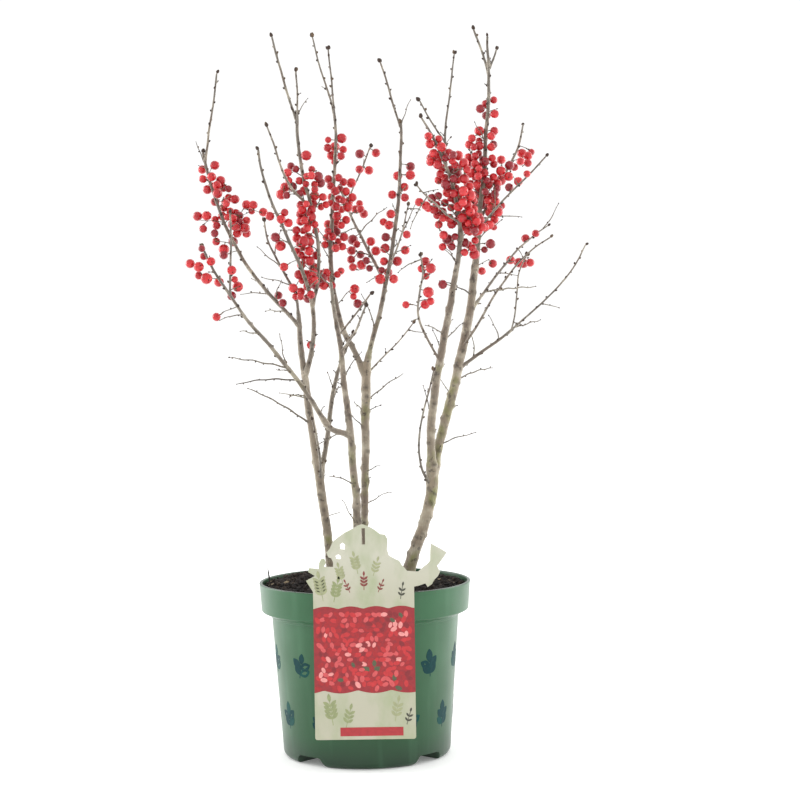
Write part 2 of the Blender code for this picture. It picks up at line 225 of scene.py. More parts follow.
@dataclass(frozen=True)
class MatteFinish:
    """A matte, faintly mottled finish for small dealt-out things such as twigs, buds and crumbs."""

    name: str
    colour: Colour
    rough: float = 0.75
    shade: float = 0.6
    grain: float = 700.0

    def make(self) -> bpy.types.Material:
        """Build the finish with an even noise that has no place of its own."""
        graph = Graph(self.name, self.rough, 0.3)
        darker = (*(part * self.shade for part in self.colour[:3]), 1.0)
        grain = graph.noise(self.grain, 3.0)
        graph.paint(graph.mix(graph.spread(grain, 0.35, 0.65), darker, self.colour))
        graph.bump(grain, 0.25)
        return graph.material


@dataclass(frozen=True)
class BerrySkin:
    """The waxy skin of a ripe berry."""

    name: str
    colour: Colour
    rough: float = 0.34

    def make(self) -> bpy.types.Material:
        """Build a smooth red skin with a thin clear bloom."""
        graph = Graph(self.name, self.rough, 0.5)
        deeper = (self.colour[0] * 0.72, self.colour[1] * 0.5, self.colour[2] * 0.6, 1.0)
        graph.paint(graph.mix(graph.spread(graph.noise(260.0, 2.0), 0.35, 0.6), deeper, self.colour))
        graph.skin.inputs["Coat Weight"].default_value = 0.25
        graph.skin.inputs["Coat Roughness"].default_value = 0.22
        return graph.material


@dataclass(frozen=True)
class PotPlastic:
    """Moulded green nursery plastic with faint flow marks, dust near the rim, and painted shade low down, at
    the foot and inside the rim.
    """

    name: str = "pot_plastic"
    colour: Colour = screen(38, 92, 55)
    # deep: the dark green of the painted shade low down and inside the rim, and of the random mottling
    deep: Colour = screen(22, 68, 35)
    # foot: the darkest green, for the painted shade at the foot and the line along the top of the lip
    foot: Colour = screen(24, 52, 32)
    worn: Colour = screen(80, 126, 94)
    dust: Colour = screen(62, 52, 42)
    rim: float = 156.0

    def make(self) -> bpy.types.Material:
        """Build the plastic under a thin gloss, with painted shade darkening it lower down, at its foot and
        inside its rim, a darker line along the top of its lip, and dusty under its rim.
        """
        graph = Graph(self.name, 0.42, 0.3)
        graph.skin.inputs["Coat Weight"].default_value = 0.5
        graph.skin.inputs["Coat IOR"].default_value = 1.4
        graph.skin.inputs["Coat Roughness"].default_value = 0.28
        height = graph.node("ShaderNodeSeparateXYZ", {0: graph.place}).outputs["Z"]
        cloud = graph.noise(26.0, 3.0)
        flow = graph.noise(60.0, 2.0, graph.stretched((1.0, 1.0, 0.12)))
        # Painted shade: the green darkens towards the bottom of the wall.
        low = graph.spread(height, 0.0, 0.8 * self.rim * MM, (0.9, 0.0))
        colour = graph.mix(low, self.colour, self.deep)
        # Painted shade: a dark band round the foot, just above the floor.
        colour = graph.mix(graph.spread(height, 0.006, 0.026, (0.9, 0.0)), colour, self.foot)
        colour = graph.mix(graph.spread(cloud, 0.35, 0.75, (0.0, 0.35)), colour, self.deep)
        colour = graph.mix(graph.spread(flow, 0.55, 0.8, (0.0, 0.25)), colour, self.worn)
        edge = graph.spread(height, (self.rim - 0.8) * MM, (self.rim - 0.2) * MM, (0.0, 0.8))
        colour = graph.mix(edge, colour, self.foot)
        # Painted shade: inside the rim, above the foot of the band, the plastic takes the dark green.
        reach = graph.node("ShaderNodeVectorMath", {0: graph.stretched((1.0, 1.0, 0.0))}, operation="LENGTH")
        outside = graph.spread(reach.outputs["Value"], 0.0925, 0.0932)
        band = graph.spread(height, (self.rim - 24.0) * MM, (self.rim - 20.0) * MM, (1.0, 0.0))
        outside = graph.node("ShaderNodeMath", {0: outside, 1: band}, operation="MAXIMUM").outputs[0]
        colour = graph.mix(outside, self.deep, colour)
        specks = graph.spread(graph.noise(330.0, 2.0), 0.70, 0.76)
        near_rim = graph.spread(height, (self.rim - 26.0) * MM, self.rim * MM)
        dusty = graph.node("ShaderNodeMath", {0: specks, 1: near_rim}, operation="MULTIPLY").outputs[0]
        graph.paint(graph.mix(dusty, colour, self.dust))
        graph.feed(graph.skin.inputs["Roughness"], graph.spread(cloud, 0.3, 0.7, (0.40, 0.54)))
        graph.bump(graph.sum(graph.noise(1600.0, 2.0), flow), 0.06)
        return graph.material


@dataclass(frozen=True)
class InkFinish:
    """Printing ink on plastic or card, slightly uneven."""

    name: str
    colour: Colour
    rough: float = 0.35
    shine: float = 0.5

    def make(self) -> bpy.types.Material:
        """Build the ink with a faint cloudiness where it took unevenly."""
        graph = Graph(self.name, self.rough, self.shine)
        thin = (*(part * 0.82 for part in self.colour[:3]), 1.0)
        graph.paint(graph.mix(graph.spread(graph.noise(300.0, 3.0), 0.4, 0.7), self.colour, thin))
        graph.bump(graph.noise(2400.0, 2.0), 0.02)
        return graph.material


@dataclass(frozen=True)
class CardFinish:
    """Coated label card with a pale sage wash on its printed face and plain cream edges and back."""

    name: str
    wash: Colour = screen(178, 176, 156)
    tint: Colour = screen(154, 164, 128)
    light: Colour = screen(188, 187, 170)
    plain: Colour = screen(200, 198, 184)
    printed_from: float | None = None

    def make(self) -> bpy.types.Material:
        """Build the card, printed only in front of the depth where the printing starts."""
        graph = Graph(self.name, 0.42, 0.45)
        fibre = graph.noise(900.0, 4.0)
        plain = graph.mix(graph.spread(fibre, 0.35, 0.7, (0.0, 0.3)), self.plain, self.wash)
        if self.printed_from is None:
            graph.paint(plain)
        else:
            wash = graph.spread(graph.noise(55.0, 4.0, graph.stretched((1.0, 1.0, 0.45))), 0.42, 0.68)
            place = graph.node("ShaderNodeSeparateXYZ", {0: graph.place}).outputs
            upper = graph.spread(place["Z"], 0.150, 0.185)
            base = graph.mix(upper, self.wash, self.light)
            printed = graph.mix(graph.spread(wash, 0.0, 1.0, (0.0, 0.8)), base, self.tint)
            depth = place["Y"]
            inked = self.printed_from * MM
            share = graph.spread(depth, inked - 0.00005, inked + 0.00005, (1.0, 0.0))
            graph.paint(graph.mix(share, plain, printed))
        graph.bump(fibre, 0.03)
        return graph.material


@dataclass(frozen=True)
class CompostFinish:
    """Damp dark bark compost."""

    name: str = "compost"
    dark: Colour = screen(19, 15, 13)
    brown: Colour = screen(38, 30, 26)
    crumb: Colour = screen(64, 53, 45)

    def make(self) -> bpy.types.Material:
        """Build the compost from noise at two scales."""
        graph = Graph(self.name, 0.92, 0.2)
        lump, fine = graph.noise(160.0, 5.0), graph.noise(800.0, 4.0)
        colour = graph.mix(graph.spread(lump, 0.4, 0.65), self.dark, self.brown)
        graph.paint(graph.mix(graph.spread(fine, 0.6, 0.8, (0.0, 0.6)), colour, self.crumb))
        graph.bump(graph.sum(lump, fine), 1.4)
        return graph.material


@dataclass(frozen=True)
class FloorFinish:
    """A plain pale studio floor."""

    name: str = "studio_floor"
    colour: Colour = (0.97, 0.97, 0.968, 1.0)
    glow: float = 0.14

    def make(self) -> bpy.types.Material:
        """Build the floor, all but white, with a faint unevenness."""
        graph = Graph(self.name, 0.9, 0.1)
        shade = (*(part * 0.985 for part in self.colour[:3]), 1.0)
        graph.paint(graph.mix(graph.noise(2.0, 2.0), shade, self.colour))
        graph.skin.inputs["Emission Color"].default_value = (1.0, 1.0, 1.0, 1.0)
        graph.skin.inputs["Emission Strength"].default_value = self.glow
        return graph.material


def stand(name: str, data: bpy.types.ID) -> bpy.types.Object:
    """Put a new object with this data in the scene."""
    made = bpy.data.objects.new(name, data)
    bpy.context.scene.collection.objects.link(made)
    return made


def show(
    name: str, mesh: bpy.types.Mesh, finishes: list, nodes: tuple = ()
) -> bpy.types.Object:
    """Show a finished mesh as a piece of the shrub.

    Args:
        name: the piece's name.
        mesh: its mesh, in metres.
        finishes: its materials, in the order that its faces number them.
        nodes: the CAD nodes that it stands for.

    Returns:
        The new object, which rides on the shrub's one body.
    """
    made = stand(name, mesh)
    for finish in finishes:
        mesh.materials.append(finish)
    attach(made, BODY)
    if nodes:
        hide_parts(*nodes)
    triangles = sum(len(face.vertices) - 2 for face in mesh.polygons)
    LOG.info("%s: %d triangles", name, triangles)
    return made


def mesh_of(name: str, shape: bmesh.types.BMesh, sharp: float = 40.0) -> bpy.types.Mesh:
    """Turn a shape in millimetres into a smooth mesh in metres.

    Args:
        name: the mesh's name.
        shape: the shape, which is freed.
        sharp: the angle in degrees over which an edge is sharp.

    Returns:
        The mesh.
    """
    bmesh.ops.recalc_face_normals(shape, faces=shape.faces)
    bmesh.ops.scale(shape, vec=(MM, MM, MM), verts=shape.verts)
    for face in shape.faces:
        face.smooth = True
    mesh = bpy.data.meshes.new(name)
    shape.to_mesh(mesh)
    shape.free()
    mesh.set_sharp_from_angle(angle=math.radians(sharp))
    return mesh


class Pattern:
    """A small closed shape, kept as arrays, whose copies are joined into one mesh."""

    def __init__(self, shape: bmesh.types.BMesh, smooth: bool = True) -> None:
        """Keep a shape's arrays and free it.

        Args:
            shape: the shape, whose faces of material 1 are details.
            smooth: whether its faces are shaded smooth.
        """
        bmesh.ops.recalc_face_normals(shape, faces=shape.faces)
        shape.verts.index_update()
        self.spots = np.array([vert.co[:] for vert in shape.verts])
        self.corners = np.array([vert.index for face in shape.faces for vert in face.verts])
        self.sizes = np.array([len(face.verts) for face in shape.faces])
        self.details = np.array([face.material_index == 1 for face in shape.faces])
        self.smooth = smooth
        shape.free()

    def placed(self, matrix: Matrix) -> np.ndarray:
        """Give the pattern's points moved by a matrix."""
        turn = np.array(matrix)
        return self.spots @ turn[:3, :3].T + turn[:3, 3]


class Copies:
    """Copies of patterns, gathered for one joined mesh."""

    def __init__(self) -> None:
        """Start with no copies."""
        self.spots: list[np.ndarray] = []
        self.corners: list[np.ndarray] = []
        self.sizes: list[np.ndarray] = []
        self.paints: list[np.ndarray] = []
        self.smooth: list[np.ndarray] = []
        self.count = 0

    def add(self, pattern: Pattern, spots: np.ndarray, paint: int = 0, detail: int = 0) -> None:
        """Add a copy of a pattern.

        Args:
            pattern: the shape.
            spots: where its points go, in millimetres.
            paint: the number of the copy's finish.
            detail: the number of the finish of its details.
        """
        self.corners.append(pattern.corners + self.count)
        self.sizes.append(pattern.sizes)
        self.spots.append(spots)
        self.paints.append(np.where(pattern.details, detail, paint))
        self.smooth.append(np.full(len(pattern.sizes), pattern.smooth))
        self.count += len(spots)

    def mesh(self, name: str) -> bpy.types.Mesh:
        """Join the copies into one mesh, in metres."""
        spots, corners = np.concatenate(self.spots) * MM, np.concatenate(self.corners)
        sizes = np.concatenate(self.sizes)
        mesh = bpy.data.meshes.new(name)
        mesh.vertices.add(len(spots))
        mesh.vertices.foreach_set("co", spots.astype(np.float32).ravel())
        mesh.loops.add(len(corners))
        mesh.loops.foreach_set("vertex_index", corners.astype(np.int32))
        mesh.polygons.add(len(sizes))
        starts = np.concatenate(([0], np.cumsum(sizes)[:-1]))
        mesh.polygons.foreach_set("loop_start", starts.astype(np.int32))
        mesh.polygons.foreach_set("material_index", np.concatenate(self.paints).astype(np.int32))
        mesh.polygons.foreach_set("use_smooth", np.concatenate(self.smooth))
        mesh.update(calc_edges=True)
        return mesh


def lengths_along(way: np.ndarray) -> np.ndarray:
    """Give how far along a way each of its points lies."""
    return np.concatenate(([0.0], np.cumsum(np.linalg.norm(np.diff(way, axis=0), axis=1))))


def unit(vector: np.ndarray) -> np.ndarray:
    """Give a vector of length 1 with the same direction."""
    return vector / max(float(np.linalg.norm(vector)), 1e-9)


def smooth_way(knots: np.ndarray, girths: np.ndarray, step: float) -> tuple[np.ndarray, np.ndarray]:
    """Lead a smooth way through knots.

    Args:
        knots: the points it passes.
        girths: the radius at each knot.
        step: the distance between its points.

    Returns:
        The points of the way and the radius at each.
    """
    ends = np.vstack((2 * knots[0] - knots[1], knots, 2 * knots[-1] - knots[-2]))
    share = np.linspace(0.0, 1.0, 16, endpoint=False)[:, None]
    runs = []
    for index in range(len(knots) - 1):
        before, start, end, after = ends[index : index + 4]
        runs.append(
            start
            + 0.5 * (end - before) * share
            + (before - 2.5 * start + 2 * end - 0.5 * after) * share**2
            + (1.5 * (start - end) + 0.5 * (after - before)) * share**3
        )
    fine = np.vstack((*runs, knots[-1:]))
    fine_girths = np.interp(np.arange(len(fine)) / 16.0, np.arange(len(knots)), girths)
    along = lengths_along(fine)
    even = np.linspace(0.0, along[-1], max(4, round(along[-1] / step) + 1))
    return picked(fine, along, even), np.interp(even, along, fine_girths)


def picked(way: np.ndarray, along: np.ndarray, wanted: np.ndarray) -> np.ndarray:
    """Give the points of a way at the wanted lengths along it."""
    return np.column_stack([np.interp(wanted, along, way[:, axis]) for axis in range(3)])


def frames_along(way: np.ndarray) -> tuple[np.ndarray, np.ndarray, np.ndarray]:
    """Lay frames along a way, without twist.

    Args:
        way: its points.

    Returns:
        The heading, side and back of each point.
    """
    headings = np.gradient(way, axis=0)
    headings /= np.linalg.norm(headings, axis=1)[:, None]
    start = np.array((1.0, 0.0, 0.0)) if abs(headings[0][0]) < 0.8 else np.array((0.0, 1.0, 0.0))
    sides = []
    side = start
    for heading in headings:
        side = unit(side - heading * float(side @ heading))
        sides.append(side)
    sides = np.array(sides)
    return headings, sides, np.cross(headings, sides)


def outward(sides: np.ndarray, backs: np.ndarray, index: int, turn: float) -> np.ndarray:
    """Give the direction out of a way at one of its points, at an angle round it."""
    return sides[index] * math.cos(turn) + backs[index] * math.sin(turn)


def wavering(way: np.ndarray, reach: float, wave: float, seed: float) -> np.ndarray:
    """Let a way waver sideways a little, but not at its start.

    Args:
        way: its points.
        reach: how far it wavers.
        wave: the length of a wave.
        seed: what tells one way from another.

    Returns:
        The new points.
    """
    along = lengths_along(way)
    drift = np.array([noise.noise_vector(Vector((s / wave, seed, 0.5)))[:] for s in along])
    return way + drift * reach * np.clip(along / 14.0, 0.0, 1.0)[:, None]


@dataclass
class Limb:
    """A stem, bough or shoot: its axis from its joint to its tip, read from its CAD node."""

    name: str
    way: np.ndarray
    girths: np.ndarray
    parent: "Limb | None" = None
    nodes: list[tuple[int, float]] = field(default_factory=list)

    @property
    def tip(self) -> np.ndarray:
        """The limb's tip."""
        return self.way[-1]

    def at_height(self, height: float) -> int:
        """Give the number of the limb's first point at a height."""
        return int(np.argmax(self.way[:, 2] >= min(height, self.way[:, 2].max())))


@dataclass(frozen=True)
class LimbReader:
    """Reads the limbs' axes from the CAD tubes of the frame."""

    sides: int = 8
    weld: float = 0.00001
    ground_reach: float = 30.0
    look_back: int = 46
    nearness: float = 0.04
    foot_share: float = 0.35
    carry_on: float = 3.0
    step: float = 1.7
    waver: float = 1.1
    wave: float = 34.0

    def tip_ring(self, shape: bmesh.types.BMesh) -> set:
        """Find the end of a tube.

        Args:
            shape: the tube.

        Returns:
            The ring of vertices round its tip, which is the flat patch at its top with the least spread.
        """
        top = max(shape.verts, key=lambda vert: vert.co.z)
        rings = []
        for face in top.link_faces:
            patch, open_faces = {face}, [face]
            while open_faces:
                here = open_faces.pop()
                for edge in here.edges:
                    for beside in edge.link_faces:
                        if beside not in patch and beside.normal.dot(face.normal) > 0.9999:
                            patch.add(beside)
                            open_faces.append(beside)
            ring = {vert for part in patch for vert in part.verts}
            if len(ring) == self.sides:
                spread = max((vert.co - top.co).length for vert in ring)
                rings.append((spread, ring))
        return min(rings, key=lambda found: found[0])[1]

    def whole_rings(self, node: bpy.types.Object) -> tuple[np.ndarray, np.ndarray]:
        """Find the rings of a tube.

        Args:
            node: the limb's CAD node.

        Returns:
            The middle and radius of its whole rings, from where its joint's cut ends to its tip. A limb with
            one whole ring has the middle of its cut end too.
        """
        shape = bmesh.new()
        shape.from_mesh(node.data)
        bmesh.ops.remove_doubles(shape, verts=shape.verts, dist=self.weld)
        shape.normal_update()
        shape.verts.index_update()
        ring, seen, middles, girths = self.tip_ring(shape), set(), [], []
        while ring:
            spots = np.array([vert.co[:] for vert in sorted(ring, key=lambda vert: vert.index)]) / MM
            middle = spots.mean(axis=0)
            girth = float(np.linalg.norm(spots - middle, axis=1).mean())
            whole = len(ring) == self.sides and (not girths or girth < 1.6 * girths[-1])
            if not whole and len(middles) > 1:
                break
            middles.append(middle)
            girths.append(girth if whole else girths[-1])
            if not whole:
                break
            seen |= ring
            ring = {edge.other_vert(vert) for vert in ring for edge in vert.link_edges} - seen
        shape.free()
        return np.array(middles[::-1]), np.array(girths[::-1])

    def joint(self, knots: np.ndarray, other: np.ndarray) -> tuple[float, np.ndarray]:
        """Look back along a limb for another one.

        Args:
            knots: the limb's knots.
            other: the points of the limb that may carry it.

        Returns:
            How far off the joint is, and the point on the other limb that is nearest to it.
        """
        back = unit(knots[0] - knots[1])
        line = knots[0] + back * np.arange(self.look_back)[:, None]
        gaps = np.linalg.norm(line[:, None, :] - other[None, :, :], axis=2)
        costs = gaps + self.nearness * np.arange(self.look_back)[:, None]
        spot = np.unravel_index(np.argmin(costs), gaps.shape)
        return float(gaps[spot]) + self.nearness * spot[0], other[spot[1]]

    def read(self) -> dict[str, Limb]:
        """Read every limb, and lead each one's axis back to the limb that carries it.

        Returns:
            The limbs by name, each one's parent before itself.
        """
        wood = {name: node for name, node in frame["nodes"].items() if name not in NOT_WOOD}
        knots = {name: self.whole_rings(node) for name, node in wood.items()}
        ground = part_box("soil")[1].z / MM
        fine = {name: smooth_way(rings, girths, 1.0)[0] for name, (rings, girths) in knots.items()}
        limbs: dict[str, Limb] = {}
        waiting = sorted(knots)
        parents: dict[str, tuple[str, np.ndarray] | None] = {}
        for name in waiting:
            rings = knots[name][0]
            if rings[0][2] < ground + self.ground_reach:
                parents[name] = None
                continue
            others = [(*self.joint(rings, fine[other]), other) for other in waiting if other != name]
            gap, spot, parent = min(others, key=lambda found: found[0])
            parents[name] = (parent, spot)
        while waiting:
            for name in list(waiting):
                held = parents[name]
                if held is None or held[0] in limbs:
                    limbs[name] = self.limb(name, *knots[name], limbs.get(held[0]) if held else None, held)
                    waiting.remove(name)
        return limbs

    def limb(
        self,
        name: str,
        rings: np.ndarray,
        girths: np.ndarray,
        parent: Limb | None,
        held: tuple[str, np.ndarray] | None,
    ) -> Limb:
        """Make a limb from its rings, with its foot in the ground or its joint inside its parent.

        Args:
            name: its name.
            rings: the middles of its rings.
            girths: the radii of its rings.
            parent: the limb that carries it, if any.
            held: that limb's name and the point of the joint, if any.

        Returns:
            The limb.
        """
        if parent is None:
            foot = rings[0] + (rings[0] - rings[1]) * self.foot_share
            knots = np.vstack((foot, rings))
        else:
            spot = held[1]
            past = parent.tip - unit(parent.tip - parent.way[-6]) * 5.0
            carries_on = np.linalg.norm(spot - parent.tip) < self.carry_on
            knots = np.vstack((past if carries_on else spot, rings))
        way, radii = smooth_way(knots, np.concatenate((girths[:1], girths)), self.step)
        seed = float(sum(map(ord, name)) % 97)
        return Limb(name, wavering(way, self.waver, self.wave, seed), radii, parent)


def side_of(flat: Vector, sides: int) -> int:
    """Give the number of the side of a round section that a point lies on."""
    return round(math.atan2(flat.y, flat.x) / FULL_TURN * sides) % sides


@dataclass
class Bark:
    """Makes the bark of the limbs as tubes with swollen nodes, knots, scars and fine lumps."""

    rng: random.Random
    thick: float = 2.3
    sides_thick: int = 16
    sides_thin: int = 10
    node_gap: tuple[float, float] = (9.0, 17.0)
    node_turn: float = 0.4 * FULL_TURN
    collar: float = 0.45
    palest: float = 4.6
    thickness: float = 0.1
    first_node: tuple[float, float] = (8.0, 14.0)
    swelling: float = 0.045
    node_height: float = 0.34
    knot_height: float = 0.26
    lump_height: float = 0.16
    slim_gap: float = 0.64
    coarse: float = 0.07

    def relief(self, limb: Limb, sides: int) -> tuple[np.ndarray, np.ndarray]:
        """Work out a limb's relief, and keep where its nodes are.

        Args:
            limb: the limb, whose list of nodes is filled.
            sides: the number of sides of its tube.

        Returns:
            How far each spot stands out, in millimetres, and how dark its scar is.
        """
        along = lengths_along(limb.way)[:, None]
        turns = (np.arange(sides) * FULL_TURN / sides)[None, :]
        lift = np.zeros((len(limb.way), sides))
        scar = np.zeros_like(lift)

        def mark(place: float, turn: float, high: float, long: float, wide: float, dark: float) -> None:
            """Raise one mark on the bark and darken it."""
            away = (turns - turn + math.pi) % FULL_TURN - math.pi
            shape = np.exp(-(((along - place) / long) ** 2) - (away / wide) ** 2)
            np.add(lift, high * shape, out=lift)
            np.maximum(scar, dark * shape, out=scar)

        length = float(along[-1, 0])
        place, turn = self.rng.uniform(*self.first_node), self.rng.uniform(0.0, FULL_TURN)
        while place < length - 3.0:
            index = int(place / length * (len(limb.way) - 1))
            girth = float(limb.girths[index])
            young = min(1.0, 3.2 / girth)
            lift += self.swelling * girth * young * np.exp(-(((along - place) / 2.4) ** 2))
            mark(place, turn, self.node_height * girth * young, 1.7, 0.65, 0.3 + 0.6 * young)
            limb.nodes.append((index, turn))
            turn += self.node_turn + self.rng.uniform(-0.5, 0.5)
            place += self.rng.uniform(*self.node_gap) * (1.0 if girth > self.thick else self.slim_gap)
        mean = float(limb.girths.mean())
        for _ in range(int(length / 15.0 * mean / 2.5)):
            spot, way_round = self.rng.uniform(10.0, length), self.rng.uniform(0.0, FULL_TURN)
            size = self.rng.uniform(0.5, 1.0)
            high = self.knot_height * mean * size
            mark(spot, way_round, high, 2.6 * size, 0.55, self.rng.uniform(0.5, 1.0))
        for _ in range(int(length / 3.0 * mean / 3.0)):
            spot, way_round = self.rng.uniform(4.0, length), self.rng.uniform(0.0, FULL_TURN)
            mark(spot, way_round, self.lump_height, 1.0, 0.45, self.rng.uniform(-0.4, 0.5))
        return lift, np.clip(scar, 0.0, 1.0)

    def collared(self, limb: Limb) -> np.ndarray:
        """Widen a limb where it leaves its parent, and draw it in at its tip.

        Args:
            limb: the limb.

        Returns:
            Its radii.
        """
        radii = limb.girths * (1.0 + self.thickness * np.clip((limb.girths - 3.4) / 0.8, 0.0, 1.0))
        along = lengths_along(limb.way)
        if limb.parent is not None:
            gaps = np.linalg.norm(limb.way[:, None, :] - limb.parent.way[None, :, :], axis=2)
            nearest = np.argmin(gaps, axis=1)
            clear = np.maximum(gaps.min(axis=1) - limb.parent.girths[nearest], 0.0)
            near_start = np.exp(-clear / (0.9 * radii[0])) * (along < 30.0)
            radii *= 1.0 + self.collar * near_start
        radii *= np.clip((along[-1] - along) / 2.5 + 0.45, 0.0, 1.0)
        return radii

    def grow(self, limb: Limb, shape: bmesh.types.BMesh) -> None:
        """Sweep a limb's bark along its way, into a shape of its own.

        Args:
            limb: the limb.
            shape: an empty shape with the float layers girth and scar.
        """
        girth_layer = shape.verts.layers.float["girth"]
        scar_layer = shape.verts.layers.float["scar"]
        sides = self.sides_thick if limb.girths.mean() > self.thick else self.sides_thin
        lift, scar = self.relief(limb, sides)
        radii = self.collared(limb)
        headings, across, back = frames_along(limb.way)
        seed = float(sum(map(ord, limb.name)) % 89)
        made = bmesh.ops.create_circle(shape, cap_ends=True, segments=sides, radius=1.0)
        ring = made["verts"]
        edges = list(shape.edges)
        old = Matrix.Identity(4)
        swept = []
        for index, spot in enumerate(limb.way):
            columns = [axis[index] * radii[index] for axis in (across, back, headings)]
            rows = [[*(column[row] for column in columns), spot[row]] for row in range(3)]
            new = Matrix([*rows, [0, 0, 0, 1]])
            if index:
                grown = bmesh.ops.extrude_edge_only(shape, edges=edges)["geom"]
                ring = [part for part in grown if isinstance(part, bmesh.types.BMVert)]
                held = set(ring)
                edges = [
                    part
                    for part in grown
                    if isinstance(part, bmesh.types.BMEdge) and held.issuperset(part.verts)
                ]
            middle = Vector(spot)
            step = new @ old.inverted()
            back_to_round = new.inverted()
            pale = min(1.0, max(0.0, (radii[index] - 1.0) / (self.palest - 1.0)))
            for vert in ring:
                plain = step @ vert.co if index else new @ vert.co
                side = side_of(back_to_round @ plain, sides)
                vert.co = plain
                vert[girth_layer] = pale
                vert[scar_layer] = scar[index, side]
            old = new
            swept.append((ring, middle, lift[index], back_to_round))
        bmesh.ops.contextual_create(shape, geom=edges)
        for ring, middle, high, back_to_round in swept:
            for vert in ring:
                side = side_of(back_to_round @ vert.co, sides)
                out = vert.co - middle
                grain = noise.noise(Vector((vert.co.x / 3.2, vert.co.y / 3.2, vert.co.z / 9.0 + seed)))
                vert.co += out.normalized() * (high[side] + self.coarse * out.length * grain)
        bmesh.ops.recalc_face_normals(shape, faces=shape.faces)

    def blank(self) -> bmesh.types.BMesh:
        """Start an empty shape with the float layers girth and scar."""
        shape = bmesh.new()
        for layer in ("girth", "scar"):
            shape.verts.layers.float.new(layer)
        return shape

    def dress(self, limbs: dict[str, Limb]) -> None:
        """Make one bark piece for each of the record's two bark slots, in place of their CAD nodes.

        Args:
            limbs: the limbs by name.
        """
        slots: dict[str, list[str]] = {}
        for part in frame["record"]["subparts"]:
            if part["node"] in limbs:
                slots.setdefault(part["material_slot"], []).append(part["node"])
        finish = BarkFinish().make()
        for slot in sorted(slots):
            whole = self.blank()
            for name in sorted(slots[slot]):
                shape = self.blank()
                self.grow(limbs[name], shape)
                mesh = bpy.data.meshes.new(name)
                shape.to_mesh(mesh)
                shape.free()
                whole.from_mesh(mesh)
                bpy.data.meshes.remove(mesh)
            show(slot, mesh_of(slot, whole, 60.0), [finish], tuple(sorted(slots[slot])))


@dataclass(frozen=True)
class Twig:
    """A twig seen in the picture: the limb it grows from, the height where it leaves it, and its tip."""

    limb: str
    leaves: float
    tip: tuple[float, float, float]


@dataclass(frozen=True)
class Fruiting:
    """A stretch of a limb that bears berries.

    It runs between two heights of the limb. The berries gather at a distance to the right of it, its lean,
    and stand no further out from there than its reach.
    """

    limb: str
    low: float
    high: float
    lean: float
    reach: float
    berries: int


TWIGS = (
    Twig("left_stem", 335, (-110, -30, 335)),
    Twig("left_stem", 296, (-100, -26, 331)),
    Twig("left_stem", 320, (-64, -30, 323)),
    Twig("low_left_bough", 349, (-110, -100, 360)),
    Twig("low_left_bough", 349, (-69, -60, 379)),
    Twig("low_left_bough", 395, (-117, -104, 392)),
    Twig("left_bough", 532, (-154, 90, 559)),
    Twig("tall_bough", 571, (-44, -22, 586)),
    Twig("middle_leader", 566, (47, 30, 589)),
    Twig("middle_back_bough", 470, (24, 60, 494)),
    Twig("front_stem", 244, (-28, -60, 255)),
    Twig("front_stem", 204, (-18, -40, 232)),
    Twig("left_stem", 210, (-21, 20, 216)),
    Twig("middle_stem", 314, (37, 50, 340)),
    Twig("middle_stem", 250, (15, 2, 259)),
    Twig("middle_stem", 221, (24, 30, 233)),
    Twig("middle_stem", 302, (-7, -6, 317)),
    Twig("right_back_bough", 276, (101, -10, 288)),
    Twig("right_back_bough", 333, (120, 60, 344)),
    Twig("far_right_elbow", 370, (115, 10, 392)),
    Twig("far_right_bough", 381, (165, 60, 388)),
    Twig("right_fan_back", 414, (162, 80, 419)),
    Twig("right_back_bough", 480, (148, 50, 483)),
    Twig("right_front_bough", 374, (57, -60, 385)),
    Twig("right_front_bough", 368, (91, 0, 386)),
    Twig("right_inner_shoot", 441, (34, -60, 431)),
    Twig("right_back_bough", 411, (71, -10, 424)),
    Twig("right_front_tip", 529, (80, -80, 545)),
    Twig("right_leader", 550, (105, 20, 567)),
    Twig("middle_back_bough", 449, (-24, 70, 459)),
    Twig("right_cluster_shoot", 497, (68, -110, 499)),
    Twig("right_cluster_shoot", 494, (45, -90, 468)),
)

